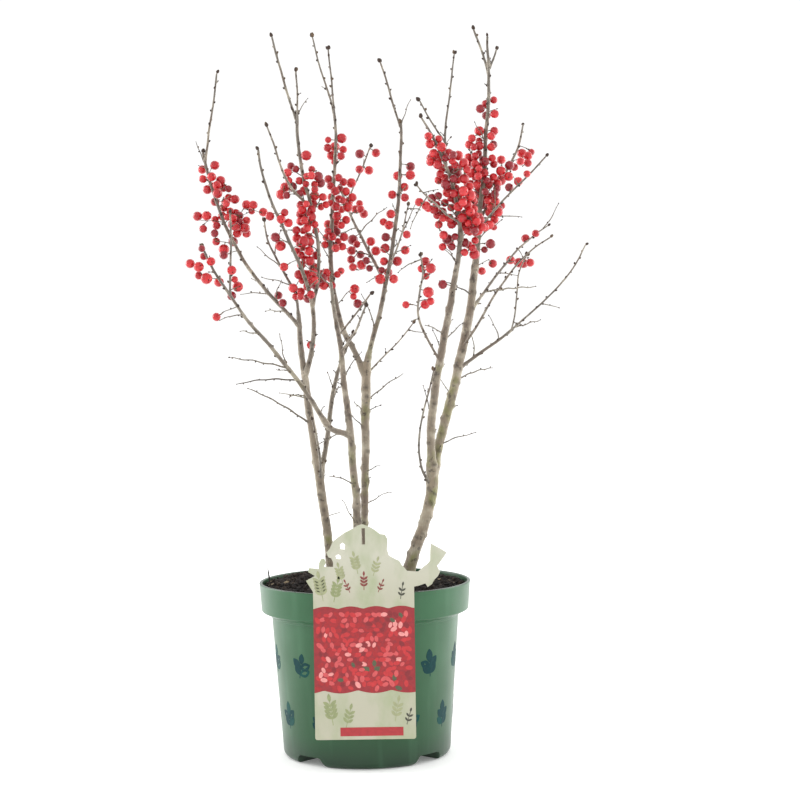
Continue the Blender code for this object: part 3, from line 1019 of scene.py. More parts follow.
FRUITINGS = tuple(
    Fruiting(limb, *stretch)
    for limb, stretches in {
        "left_bough": (
            (520, 535, 0, 10, 5), (500, 520, 6, 10, 10), (475, 505, 8, 8, 11), (470, 490, -15, 8, 6),
            (470, 490, 14, 6, 5), (490, 500, 30, 10, 4), (450, 470, -15, 5, 3), (455, 465, 0, 4, 1),
            (405, 415, 5, 4, 2),
        ),
        "left_front_bough": (
            (475, 485, 0, 8, 4), (455, 465, -8, 4, 2), (435, 440, -12, 4, 1), (410, 420, -6, 8, 7),
            (365, 370, -2, 2, 1),
        ),
        "low_left_bough": ((440, 455, 0, 4, 3), (420, 440, -9, 9, 5), (390, 395, -26, 3, 1)),
        "low_left_shoot": ((410, 435, 3, 5, 4),),
        "tall_bough": (
            (535, 540, 4, 4, 1), (520, 530, -10, 5, 3), (510, 525, 6, 8, 7), (500, 515, -8, 6, 5),
            (500, 510, -20, 5, 3), (490, 510, 7, 7, 6), (470, 495, -5, 7, 15), (450, 470, -12, 7, 9),
            (425, 450, -9, 8, 13),
        ),
        "middle_left_bough": (
            (535, 555, 0, 8, 8), (490, 520, 6, 12, 17), (455, 485, 4, 9, 16), (420, 435, -11, 10, 10),
            (430, 435, 6, 4, 2), (405, 420, 17, 5, 3),
        ),
        "middle_back_shoot": ((530, 550, 0, 9, 4),),
        "middle_back_bough": ((490, 500, 9, 6, 4), (435, 465, -14, 8, 9)),
        "middle_leader": (
            (495, 530, 3, 9, 6), (475, 490, -7, 5, 3), (450, 465, -15, 9, 4), (450, 470, 13, 4, 2),
            (425, 445, 0, 7, 6),
        ),
        "right_leader": (
            (575, 590, 0, 8, 5), (535, 560, -10, 5, 9), (545, 560, 6, 4, 4), (510, 535, -7, 8, 18),
            (515, 535, 16, 9, 8), (490, 515, 3, 10, 20), (485, 495, 12, 7, 6),
        ),
        "high_back_shoot": ((530, 550, 10, 7, 6),),
        "high_right_shoot": ((505, 520, -6, 6, 3),),
        "right_front_tip": (
            (530, 545, 0, 7, 8), (520, 530, -7, 5, 5), (505, 515, -9, 5, 4), (510, 530, 9, 10, 13),
            (485, 505, 5, 10, 22), (470, 495, -13, 7, 11), (475, 490, 4, 9, 10), (465, 480, 11, 8, 16),
        ),
        "right_front_bough": ((450, 465, -9, 6, 6), (445, 460, 9, 5, 6), (415, 420, -12, 3, 1)),
        "right_back_bough": ((470, 480, 9, 6, 5), (430, 460, 10, 6, 4)),
        "right_cluster_shoot": ((485, 490, -9, 5, 3),),
        "right_inner_shoot": ((425, 440, 5, 7, 4), (400, 415, 7, 4, 3), (400, 405, -8, 3, 1)),
        "right_fan_back": ((455, 470, 0, 6, 2), (440, 445, 13, 11, 4)),
    }.items()
    for stretch in stretches
)


class Wood:
    """Every point of wood that a twig, bud or berry can grow from."""

    rising: float = 0.55
    turning: float = 0.35
    short_cost: float = 60.0
    back_cost: float = 40.0

    def __init__(self) -> None:
        """Start with no wood."""
        self.ways: list[np.ndarray] = []
        self.radii: list[np.ndarray] = []
        self.heads: list[np.ndarray] = []
        self.dirty = True

    def add(self, way: np.ndarray, girths: np.ndarray) -> None:
        """Add the wood along a way."""
        self.ways.append(way)
        self.radii.append(girths)
        self.heads.append(frames_along(way)[0])
        self.dirty = True

    def gather(self) -> None:
        """Bring the points added so far together."""
        if self.dirty:
            self.spots = np.concatenate(self.ways)
            self.girths = np.concatenate(self.radii)
            self.headings = np.concatenate(self.heads)
            self.dirty = False

    def joint_for(self, tip: np.ndarray, reach: float = 6.0) -> int:
        """Choose where a twig to a tip leaves the wood.

        Args:
            tip: where the twig is to end.
            reach: the shortest twig that may grow.

        Returns:
            The number of the point of wood, near and rather below, and in line with its heading.
        """
        self.gather()
        span = tip - self.spots
        far = np.maximum(np.linalg.norm(span, axis=1), 0.001)
        rise = span[:, 2] / far
        ahead = np.einsum("ij,ij->i", span / far[:, None], self.headings)
        cost = far * (1.5 - self.rising * rise) * (1.35 - self.turning * ahead)
        cost += np.where(far < reach, self.short_cost, 0.0) + np.where(ahead < -0.1, self.back_cost, 0.0)
        return int(np.argmin(cost))


@dataclass
class Twiggery:
    """Grows the twigs and berries on the limbs by a seeded rule."""

    limbs: dict[str, Limb]
    rng: random.Random
    wood: Wood = field(default_factory=Wood)
    twigs: list[tuple[np.ndarray, np.ndarray]] = field(default_factory=list)
    berries: list[tuple[np.ndarray, np.ndarray, float, np.ndarray]] = field(default_factory=list)
    step: float = 2.0
    zigzag: float = 0.55
    follow: float = 0.3
    sag: float = 0.12
    bend: float = 0.55
    foot_girth: float = 0.38
    stoutening: float = 0.007
    slimmer: float = 0.85
    spur_girth: float = 0.42
    spur_stoutening: float = 0.006
    berry_girth: tuple[float, float] = (3.1, 5.2)
    berry_usual: float = 4.2
    spray_share: float = 0.34
    stalk: float = 3.4
    depth: float = 6.0
    behind: float = 0.15
    held: np.ndarray = field(default_factory=lambda: np.empty((0, 4)))
    overhang: float = 5.0
    slim: float = 2.6
    bare_above: float = 500.0
    chances: tuple[float, float, float] = (0.16, 0.34, 0.42)
    long_between: tuple[float, float] = (290.0, 490.0)
    long_share: float = 0.6
    long_twig: tuple[float, float] = (10.0, 34.0)
    spur: tuple[float, float] = (2.0, 5.0)
    tries: int = 150
    widening: float = 0.5
    spacing: float = 0.92
    sinking: float = 0.94
    stalked_share: float = 0.35

    def __post_init__(self) -> None:
        """Take the limbs' wood, and how far out twigs may grow."""
        self.lowest = np.array(CAD_BOX[0]) / MM - self.overhang
        self.highest = np.array(CAD_BOX[1]) / MM + self.overhang
        for limb in self.limbs.values():
            self.wood.add(limb.way, limb.girths)

    def twig(self, start: np.ndarray, heading: np.ndarray, tip: np.ndarray, girth: float) -> np.ndarray:
        """Grow one twig.

        Args:
            start: its joint, inside the wood that carries it.
            heading: which way that wood grows.
            tip: its tip.
            girth: its radius at its joint.

        Returns:
            The points of its way.
        """
        span = tip - start
        length = float(np.linalg.norm(span))
        out = unit(span / length + self.follow * heading - self.sag * UP)
        bend = start + out * length * self.bend
        share = np.linspace(0.0, 1.0, max(4, round(length / self.step)))[:, None]
        way = start * (1 - share) ** 2 + bend * 2 * share * (1 - share) + tip * share**2
        headings, sides, backs = frames_along(way)
        turn = self.rng.uniform(0.0, FULL_TURN)
        beat = np.sin(lengths_along(way) / self.rng.uniform(2.4, 3.6) + self.rng.uniform(0.0, 6.0))
        swing = (sides * math.cos(turn) + backs * math.sin(turn)) * beat[:, None] * self.zigzag
        way += swing * np.clip(share * 4.0, 0.0, 1.0) * min(1.0, length / 25.0)
        thin = max(0.28, girth * 0.5)
        girths = girth + (thin - girth) * np.linspace(0.0, 1.0, len(way))
        girths *= 1.0 + 0.10 * np.maximum(beat, 0.0)
        self.twigs.append((way, girths))
        self.wood.add(way, girths)
        return way

    def girth_for(self, length: float, carrier: float) -> float:
        """Give the radius of a twig's foot from its length and the radius of what carries it."""
        return min(self.foot_girth + self.stoutening * length, self.slimmer * carrier)

    def grow_seen_twigs(self) -> None:
        """Grow the twigs that the picture shows one by one."""
        for seen in TWIGS:
            limb = self.limbs[seen.limb]
            index = limb.at_height(seen.leaves)
            heading = frames_along(limb.way)[0][index]
            tip = np.array(seen.tip, float)
            length = float(np.linalg.norm(tip - limb.way[index]))
            self.twig(limb.way[index], heading, tip, self.girth_for(length, float(limb.girths[index])))

    def beside(self, stretch: Fruiting, grown: float = 1.0) -> np.ndarray:
        """Give a random point beside a fruiting stretch, whose reach may have grown by a factor."""
        limb = self.limbs[stretch.limb]
        spot = limb.way[limb.at_height(self.rng.uniform(stretch.low, stretch.high))]
        turn = self.rng.uniform(0.0, FULL_TURN)
        out = stretch.reach * grown * self.rng.random() ** 0.5
        deep = (stretch.reach + self.depth) * grown * self.rng.random() ** 0.5
        back = deep * (math.sin(turn) + self.behind)
        return spot + np.array((stretch.lean + out * math.cos(turn), back, 0.0))

    def grow_sprays(self) -> None:
        """Grow the spray twigs beside the fuller stretches, nearest first."""
        for stretch in FRUITINGS:
            self.wood.gather()
            tips = [self.beside(stretch) for _ in range(round(stretch.berries * self.spray_share))]
            tips.sort(key=lambda tip: float(np.linalg.norm(self.wood.spots - tip, axis=1).min()))
            for tip in tips:
                self.grow_to(tip)

    def grow_to(self, tip: np.ndarray) -> None:
        """Grow a twig to a tip from the best point of wood."""
        index = self.wood.joint_for(tip)
        start, heading = self.wood.spots[index], self.wood.headings[index]
        length = float(np.linalg.norm(tip - start))
        self.twig(start, heading, tip, self.girth_for(length, float(self.wood.girths[index])))

    def grow_fine_twigs(self) -> None:
        """Grow side twigs at the limbs' nodes in the middle of the crown, and short spurs elsewhere."""
        for limb in self.limbs.values():
            headings, sides, backs = frames_along(limb.way)
            for index, turn in limb.nodes:
                height = float(limb.way[index][2])
                slim = float(limb.girths[index]) < self.slim
                high, thin, usual = self.chances
                chance = high if height > self.bare_above else thin if slim else usual
                if self.rng.random() > chance or index < 6:
                    continue
                low, top = self.long_between
                long = low < height < top and self.rng.random() < self.long_share
                length = self.rng.uniform(*(self.long_twig if long else self.spur))
                side = outward(sides, backs, index, turn)
                out = unit(side + headings[index] * self.rng.uniform(0.4, 1.1) + 0.15 * UP)
                start = limb.way[index] + side * float(limb.girths[index]) * 0.6
                tip = np.clip(start + out * length, self.lowest, self.highest)
                girth = self.spur_girth + self.spur_stoutening * length
                self.twig(start, headings[index], tip, girth)

    def bear(self) -> None:
        """Hang the berries of each stretch, side by side at first and then behind one another."""
        wanted = sum(stretch.berries for stretch in FRUITINGS)
        for stretch in FRUITINGS:
            hung, tries, most = 0, 0, self.tries * stretch.berries
            while hung < stretch.berries and tries < most:
                tries += 1
                eased = tries / most
                spot = self.beside(stretch, 1.0 + self.widening * eased)
                hung += self.hang(spot, self.spacing * (1.0 - eased))
        LOG.info("%d of %d berries hung", len(self.berries), wanted)

    def hang(self, spot: np.ndarray, apart: float) -> bool:
        """Hang a berry at a place, if there is room.

        Args:
            spot: where the berry's middle is wanted.
            apart: how far from others it is to stand as the label's side sees them, as a share of touching.

        Returns:
            Whether the berry hangs.
        """
        self.wood.gather()
        girth = self.rng.triangular(*self.berry_girth, self.berry_usual)
        gaps = np.linalg.norm(self.wood.spots - spot, axis=1) - self.wood.girths
        index = int(np.argmin(gaps))
        gap = float(gaps[index]) - girth
        if gap < -0.5 or self.crowded(spot, girth, apart):
            return False
        if gap > self.stalk and self.rng.random() > self.stalked_share:
            return False
        if gap > self.stalk:
            start, heading = self.wood.spots[index], self.wood.headings[index]
            out = unit(spot - start)
            end = spot - out * (girth + 0.8) + np.cross(out, heading) * girth * 0.5
            self.twig(start, heading, end, self.girth_for(gap, float(self.wood.girths[index])))
            root = self.twigs[-1][0][-2]
        else:
            root = self.wood.spots[index]
        out = unit(spot - root)
        self.berries.append((spot, out, girth, root))
        self.held = np.vstack((self.held, [*spot, girth]))
        return True

    def crowded(self, spot: np.ndarray, girth: float, apart: float) -> bool:
        """Say whether a berry would sink into one that already hangs, or hide it."""
        span, touching = self.held[:, :3] - spot, self.held[:, 3] + girth
        sunk = np.linalg.norm(span, axis=1) < self.sinking * touching
        hidden = np.hypot(span[:, 0], span[:, 2]) < apart * touching
        return bool((sunk | hidden).any())


class TwigPatterns:
    """Patterns for twigs of few, some and many rings."""

    sides: int = 5
    rings: tuple[int, ...] = (6, 12, 24)

    def __init__(self) -> None:
        """Make a straight pattern of each length and keep which ring each of its points is in."""
        self.made = []
        for rings in self.rings:
            shape = bmesh.new()
            bmesh.ops.create_cone(
                shape, cap_ends=True, segments=self.sides, radius1=1.0, radius2=1.0, depth=float(rings - 1)
            )
            upright = [edge for edge in shape.edges if abs(edge.verts[0].co.z - edge.verts[1].co.z) > 0.5]
            bmesh.ops.subdivide_edges(shape, edges=upright, cuts=rings - 2)
            pattern = Pattern(shape)
            level = np.rint(pattern.spots[:, 2] + (rings - 1) / 2.0).astype(int)
            turn = np.arctan2(pattern.spots[:, 1], pattern.spots[:, 0])
            self.made.append((pattern, level, turn))

    def add(self, copies: Copies, way: np.ndarray, girths: np.ndarray, paint: int) -> None:
        """Add a twig along a way.

        Args:
            copies: what the twig joins.
            way: its points.
            girths: its radius at each point.
            paint: the number of its finish.
        """
        wanted = len(way)
        enough = (made for made in self.made if made[1].max() + 1 >= wanted)
        pattern, level, turn = next(enough, self.made[-1])
        rings = int(level.max()) + 1
        along = lengths_along(way)
        even = np.linspace(0.0, along[-1], rings)
        spots = picked(way, along, even)
        radii = np.interp(even, along, girths)
        radii[0] *= 1.35
        radii[-1] *= 0.55
        headings, sides, backs = frames_along(spots)
        round_it = sides[level] * np.cos(turn)[:, None] + backs[level] * np.sin(turn)[:, None]
        copies.add(pattern, spots[level] + round_it * radii[level][:, None], paint)


def facing(direction: np.ndarray, spin: float = 0.0) -> Matrix:
    """Give the turn that points a pattern's +Z along a direction, after a spin about its own axis."""
    return (
        Vector(direction).to_track_quat("Z", "Y").to_matrix().to_4x4() @ Matrix.Rotation(spin, 4, "Z")
    )


@dataclass
class TwigPieces:
    """Makes the pieces that grow on the limbs: twigs, buds, berries and their stalks."""

    growth: Twiggery
    rng: random.Random
    reds: tuple[Colour, ...] = (
        screen(200, 22, 30),
        screen(182, 14, 27),
        screen(144, 10, 28),
        screen(208, 46, 50),
    )
    barks: tuple[Colour, ...] = (screen(130, 122, 110), screen(110, 102, 94), screen(144, 137, 120))
    berry_rings: tuple[float, ...] = (0.14, 0.74, 1.36, 1.97, 2.56)
    node_bud: tuple[float, float] = (1.8, 2.8)
    tip_bud: tuple[float, float] = (3.4, 4.8)
    twig_bud: tuple[float, float] = (1.6, 2.6)
    side_bud: tuple[float, float] = (1.1, 1.9)
    budded: float = 2.7

    def berry_pattern(self) -> Pattern:
        """Make a berry whose lowest rings draw in at the stalk, with a dark eye at its far end."""
        shape = bmesh.new()
        bmesh.ops.create_uvsphere(shape, u_segments=10, v_segments=6, radius=1.0)
        rings = enumerate(self.berry_rings, 1)
        tilts = {round(math.pi * ring / 6.0, 3): new for ring, new in rings}
        for vert in shape.verts:
            tilt = math.acos(max(-1.0, min(1.0, vert.co.z)))
            new = tilts.get(round(tilt, 3))
            if new is not None:
                flat = Vector((vert.co.x, vert.co.y, 0.0)).normalized()
                vert.co = flat * math.sin(new) + Vector((0.0, 0.0, math.cos(new)))
            elif vert.co.z > 0:
                vert.co.z = 1.03
        for face in shape.faces:
            face.material_index = int(min(vert.co.z for vert in face.verts) > 0.97)
        return Pattern(shape)

    def bud_pattern(self) -> Pattern:
        """Make a pointed bud, one long, standing on the origin."""
        shape = bmesh.new()
        bmesh.ops.create_uvsphere(shape, u_segments=6, v_segments=4, radius=0.5)
        for vert in shape.verts:
            high = vert.co.z + 0.5
            vert.co.x *= 1.15 - 0.55 * high
            vert.co.y *= 1.15 - 0.55 * high
            vert.co.z = high
        return Pattern(shape)

    def make_twigs(self) -> None:
        """Join the twigs, their bark dealt out from three greys and browns."""
        patterns, copies = TwigPatterns(), Copies()
        for way, girths in self.growth.twigs:
            patterns.add(copies, way, girths, self.rng.choice((0, 0, 1, 2)))
        finishes = [MatteFinish(f"twig_bark_{n}", colour).make() for n, colour in enumerate(self.barks)]
        show("twigs", copies.mesh("twigs"), finishes)

    def make_buds(self) -> None:
        """Join the buds at the nodes of the slimmer limbs, along the twigs and at every tip."""
        pattern, copies = self.bud_pattern(), Copies()

        def bud(spot: np.ndarray, direction: np.ndarray, size: float, plump: float = 0.85) -> None:
            """Set one bud on the wood."""
            wide = size * plump * self.rng.uniform(0.85, 1.15)
            turn = facing(direction, self.rng.uniform(0.0, FULL_TURN))
            matrix = Matrix.Translation(Vector(spot)) @ turn @ Matrix.Diagonal((wide, wide, size, 1.0))
            copies.add(pattern, pattern.placed(matrix), self.rng.choice((0, 0, 1)))

        for limb in self.growth.limbs.values():
            headings, sides, backs = frames_along(limb.way)
            for index, turn in limb.nodes:
                girth = float(limb.girths[index])
                if girth > self.budded:
                    continue
                side = outward(sides, backs, index, turn)
                out = unit(side + 1.3 * headings[index])
                bud(limb.way[index] + side * girth * 0.85, out, self.rng.uniform(*self.node_bud))
            if limb.girths[-1] < 1.6:
                for _ in range(self.rng.choice((1, 2, 3))):
                    lean = np.array([self.rng.uniform(-0.5, 0.5) for _ in range(3)])
                    foot = limb.tip - headings[-1] * 0.8
                    bud(foot, unit(headings[-1] + lean), self.rng.uniform(*self.tip_bud))
        for way, girths in self.growth.twigs:
            headings, sides, backs = frames_along(way)
            bud(way[-1] - headings[-1] * 0.5, headings[-1], self.rng.uniform(*self.twig_bud), 0.55)
            for index in range(3, len(way) - 2, 4):
                turn = self.rng.uniform(0.0, FULL_TURN)
                side = outward(sides, backs, index, turn)
                spot = way[index] + side * float(girths[index]) * 0.8
                bud(spot, unit(side + headings[index]), self.rng.uniform(*self.side_bud))
        finishes = [
            MatteFinish("bud_scale", screen(74, 60, 52)).make(),
            MatteFinish("bud_scale_pale", screen(112, 94, 76)).make(),
        ]
        show("buds", copies.mesh("buds"), finishes)

    def make_berries(self) -> None:
        """Join the berries, their reds dealt out, and their stalks."""
        pattern, berries = self.berry_pattern(), Copies()
        patterns, stalks = TwigPatterns(), Copies()
        for spot, out, girth, root in self.growth.berries:
            sag = unit(out + np.array((0.0, 0.0, self.rng.uniform(-0.25, 0.05))))
            turn = facing(sag, self.rng.uniform(0.0, FULL_TURN))
            scale = Matrix.Diagonal((girth, girth, girth * self.rng.uniform(0.93, 1.0), 1.0))
            matrix = Matrix.Translation(Vector(spot)) @ turn @ scale
            berries.add(pattern, pattern.placed(matrix), self.rng.choice((1, 1, 2, 2, 3, 4)), 0)
            foot = spot - sag * girth * 0.9
            middle = root * 0.5 + foot * 0.5 + (0.0, 0.0, -0.15)
            way = np.array([root, middle, foot, spot - sag * girth * 0.6])
            patterns.add(stalks, way, np.array((0.5, 0.38, 0.42, 0.42)), 0)
        finishes = [MatteFinish("berry_eye", screen(84, 34, 30)).make()]
        finishes += [BerrySkin(f"berry_skin_{n}", colour).make() for n, colour in enumerate(self.reds)]
        show("berries", berries.mesh("berries"), finishes)
        stalk_skin = MatteFinish("stalk_skin", screen(122, 92, 58)).make()
        show("berry_stalks", stalks.mesh("berry_stalks"), [stalk_skin])


Outline = list[tuple[float, float]]


def arc(middle: tuple[float, float], radius: float, start: float, end: float, steps: int) -> Outline:
    """Give the points of an arc, whose angles are in degrees, from its start to its end."""
    turns = [math.radians(start + (end - start) * step / steps) for step in range(steps + 1)]
    return [(middle[0] + radius * math.cos(turn), middle[1] + radius * math.sin(turn)) for turn in turns]


def turned(outline: Outline, steps: int) -> bmesh.types.BMesh:
    """Turn an outline into a closed round shape.

    Args:
        outline: its radii and heights, from axis to axis.
        steps: the number of its sides.

    Returns:
        The shape.
    """
    shape = bmesh.new()
    verts = [shape.verts.new((radius, 0.0, height)) for radius, height in outline]
    edges = [shape.edges.new(pair) for pair in zip(verts, verts[1:])]
    bmesh.ops.spin(
        shape,
        geom=verts + edges,
        cent=(0.0, 0.0, 0.0),
        axis=(0.0, 0.0, 1.0),
        dvec=(0.0, 0.0, 0.0),
        angle=FULL_TURN,
        steps=steps,
        use_merge=True,
    )
    bmesh.ops.remove_doubles(shape, verts=shape.verts, dist=0.01)
    bmesh.ops.recalc_face_normals(shape, faces=shape.faces)
    return shape


def carved(body: bpy.types.Mesh, cutter: bpy.types.Mesh, name: str) -> bpy.types.Mesh:
    """Cut one closed mesh out of another.

    Args:
        body: what is cut.
        cutter: what is taken away.
        name: the name of the new mesh.

    Returns:
        The mesh that is left.
    """
    holder, tool = stand(name + "_body", body), stand(name + "_tool", cutter)
    cut = holder.modifiers.new("cut", "BOOLEAN")
    cut.operation, cut.object, cut.solver = "DIFFERENCE", tool, "EXACT"
    evaluated = holder.evaluated_get(bpy.context.evaluated_depsgraph_get())
    left = bpy.data.meshes.new_from_object(evaluated)
    for made in (holder, tool):
        bpy.data.objects.remove(made)
    left.name = name
    return left


class Leaf(Enum):
    """The leaf shapes of the prints: how many points a side has and how blunt it is."""

    POINTED = 0.8
    BLUNT = 0.45


def scaled(x: float, y: float, z: float) -> Matrix:
    """Give a stretch along each axis."""
    return Matrix.Diagonal((x, y, z, 1.0))


def leaned(degrees: float) -> Matrix:
    """Give a lean to the right, as seen from the label's side."""
    return Matrix.Rotation(math.radians(degrees), 4, "Y")


def thicken(shape: bmesh.types.BMesh, thick: float) -> None:
    """Thicken a flat shape towards -Y."""
    grown = bmesh.ops.extrude_face_region(shape, geom=list(shape.faces))["geom"]
    front = [part for part in grown if isinstance(part, bmesh.types.BMVert)]
    bmesh.ops.translate(shape, vec=(0.0, -thick, 0.0), verts=front)


def rod_pattern() -> Pattern:
    """Make an upright square bar, one wide and one long, standing on the origin."""
    shape = bmesh.new()
    bmesh.ops.create_cube(shape, size=1.0)
    bmesh.ops.translate(shape, vec=(0.0, 0.0, 0.5), verts=shape.verts)
    return Pattern(shape, smooth=False)


def leaf_pattern(kind: Leaf, thick: float) -> Pattern:
    """Make a thin leaf, one long and standing up from the origin in the plane of X and Z.

    Args:
        kind: the leaf's shape.
        thick: its thickness.

    Returns:
        The pattern, which faces -Y.
    """
    shape = bmesh.new()
    made = bmesh.ops.create_circle(shape, cap_ends=True, segments=16, radius=0.5)
    for vert in made["verts"]:
        high = vert.co.y + 0.5
        taper = math.sin(math.pi * min(1.0, max(0.0, high))) ** kind.value
        side = math.copysign(0.21, vert.co.x) if abs(vert.co.x) > 0.01 else 0.0
        vert.co = Vector((side * taper, 0.0, high))
    thicken(shape, thick)
    return Pattern(shape, smooth=False)


@dataclass
class NurseryPot:
    """The moulded pot: banded rim, shoulder, tapering wall and a foot with four drainage channels."""

    height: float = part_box("pot")[1].z / MM
    rim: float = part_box("pot")[1].x / MM
    band: float = 24.0
    band_foot: float = 93.2
    wall_top: float = 84.0
    wall_foot: float = 75.4
    foot_round: float = 6.0
    wall: float = 1.8
    floor: float = 10.5
    channel: tuple[float, float, float] = (12.5, 8.5, 44.0)
    channel_flare: float = 5.0
    channel_turn: float = 48.0
    steps: int = 144

    def outline(self) -> Outline:
        """Give the pot's section, from the middle of its underside round to the middle of its floor."""
        top, low = self.height, self.height - self.band
        outside = [(0.0, 0.0), (60.0, 0.0)]
        outside += arc((self.wall_foot - self.foot_round, self.foot_round), self.foot_round, -90.0, -4.0, 8)
        outside += [(79.6, 64.0), (self.wall_top, low - 7.0)]
        outside += arc((self.wall_top + 2.6, low - 6.6), 2.2, 180.0, 110.0, 4)
        outside += arc((self.band_foot - 1.5, low - 0.2), 1.5, -60.0, 0.0, 4)
        outside += [(self.rim - 0.35, top - 2.6)]
        outside += arc((self.rim - 0.9, top - 0.9), 0.9, 0.0, 90.0, 5)
        outside += arc((self.rim - self.wall - 0.1, top - 0.9), 0.9, 90.0, 180.0, 5)
        inside = [(91.4, low + 4.0), (88.0, low - 0.6), (83.0, low - 4.0), (82.2, low - 7.0)]
        inside += arc((self.wall_foot - 5.8, self.floor + 4.0), 4.0, 0.0, -90.0, 5)
        return outside + inside + [(0.0, self.floor)]

    def channels(self) -> bmesh.types.BMesh:
        """Make the four bars, rounded above and flared below, that the drainage channels are cut with."""
        half, high, start = self.channel
        shape = bmesh.new()
        for turn in range(4):
            made = bmesh.ops.create_cube(shape, size=1.0)["verts"]
            for vert in made:
                above = vert.co.z > 0.0
                wide = half if above else half + 2.0 * self.channel_flare
                across, up = math.copysign(wide, vert.co.y), math.copysign(high, vert.co.z)
                vert.co = Vector((start + 60.0 * (vert.co.x + 0.5), across, up))
            angle = math.radians(self.channel_turn + 90.0 * turn)
            bmesh.ops.rotate(shape, cent=(0.0, 0.0, 0.0), matrix=Matrix.Rotation(angle, 3, "Z"), verts=made)
        top = [edge for edge in shape.edges if all(vert.co.z > 0.0 for vert in edge.verts)]
        bmesh.ops.bevel(shape, geom=top, offset=2.0, affect="EDGES", segments=4, profile=0.5, material=-1)
        return shape

    def make(self) -> None:
        """Make the pot in place of its CAD node."""
        body = mesh_of("pot_blank", turned(self.outline(), self.steps))
        mesh = carved(body, mesh_of("pot_channels", self.channels()), "nursery_pot")
        mesh.set_sharp_from_angle(angle=math.radians(34.0))
        show("nursery_pot", mesh, [PotPlastic(rim=self.height).make()], ("pot",))

    def radius_at(self, height: float) -> float:
        """Give the radius of the wall's outside at a height."""
        share = (height - self.foot_round) / (self.height - self.band - 7.0 - self.foot_round)
        return self.wall_foot + (self.wall_top - self.wall_foot) * share

    def wrapped(self, flat: np.ndarray, turn: float, height: float) -> np.ndarray:
        """Wrap a flat print round the wall.

        Args:
            flat: the print's points, with Y out of the wall as a negative depth.
            turn: the angle of its middle round the pot, in degrees from the label.
            height: the height of its origin.

        Returns:
            The points on the wall.
        """
        high = flat[:, 2] + height
        radius = np.array([self.radius_at(z) for z in high])
        angle = math.radians(turn) + flat[:, 0] / radius
        out = radius - flat[:, 1]
        return np.column_stack((np.sin(angle) * out, -np.cos(angle) * out, high))

    def make_prints(self, rng: random.Random) -> None:
        """Print leaf sprigs round the wall: a stalk with pairs of leaves and one at its end.

        Args:
            rng: what deals out their leans, sizes and inks.
        """
        leaf, stalk, copies = leaf_pattern(Leaf.POINTED, 1.0), rod_pattern(), Copies()
        for number in range(24):
            turn = 15.0 * number
            height = 78.0 if number % 2 else 30.0
            whole = leaned(rng.uniform(-14.0, 14.0))
            rod = whole @ scaled(0.9, 0.12, 15.0)
            copies.add(stalk, self.wrapped(stalk.placed(rod), turn, height), 0)
            for side, high in ((-1.0, 3.0), (1.0, 3.0), (-1.0, 8.5), (1.0, 8.5), (0.0, 12.5)):
                spread = leaned(side * rng.uniform(42.0, 58.0))
                foot = Matrix.Translation((0.0, 0.0, high))
                size = rng.uniform(10.0, 12.5)
                grown = whole @ foot @ spread @ scaled(1.5 * size, 0.12, size)
                copies.add(leaf, self.wrapped(leaf.placed(grown), turn, height), rng.choice((0, 0, 1)))
        finishes = [
            InkFinish("print_blue", screen(8, 58, 60), 0.5, 0.15).make(),
            InkFinish("print_teal", screen(16, 72, 68), 0.5, 0.15).make(),
        ]
        show("pot_prints", copies.mesh("pot_prints"), finishes)


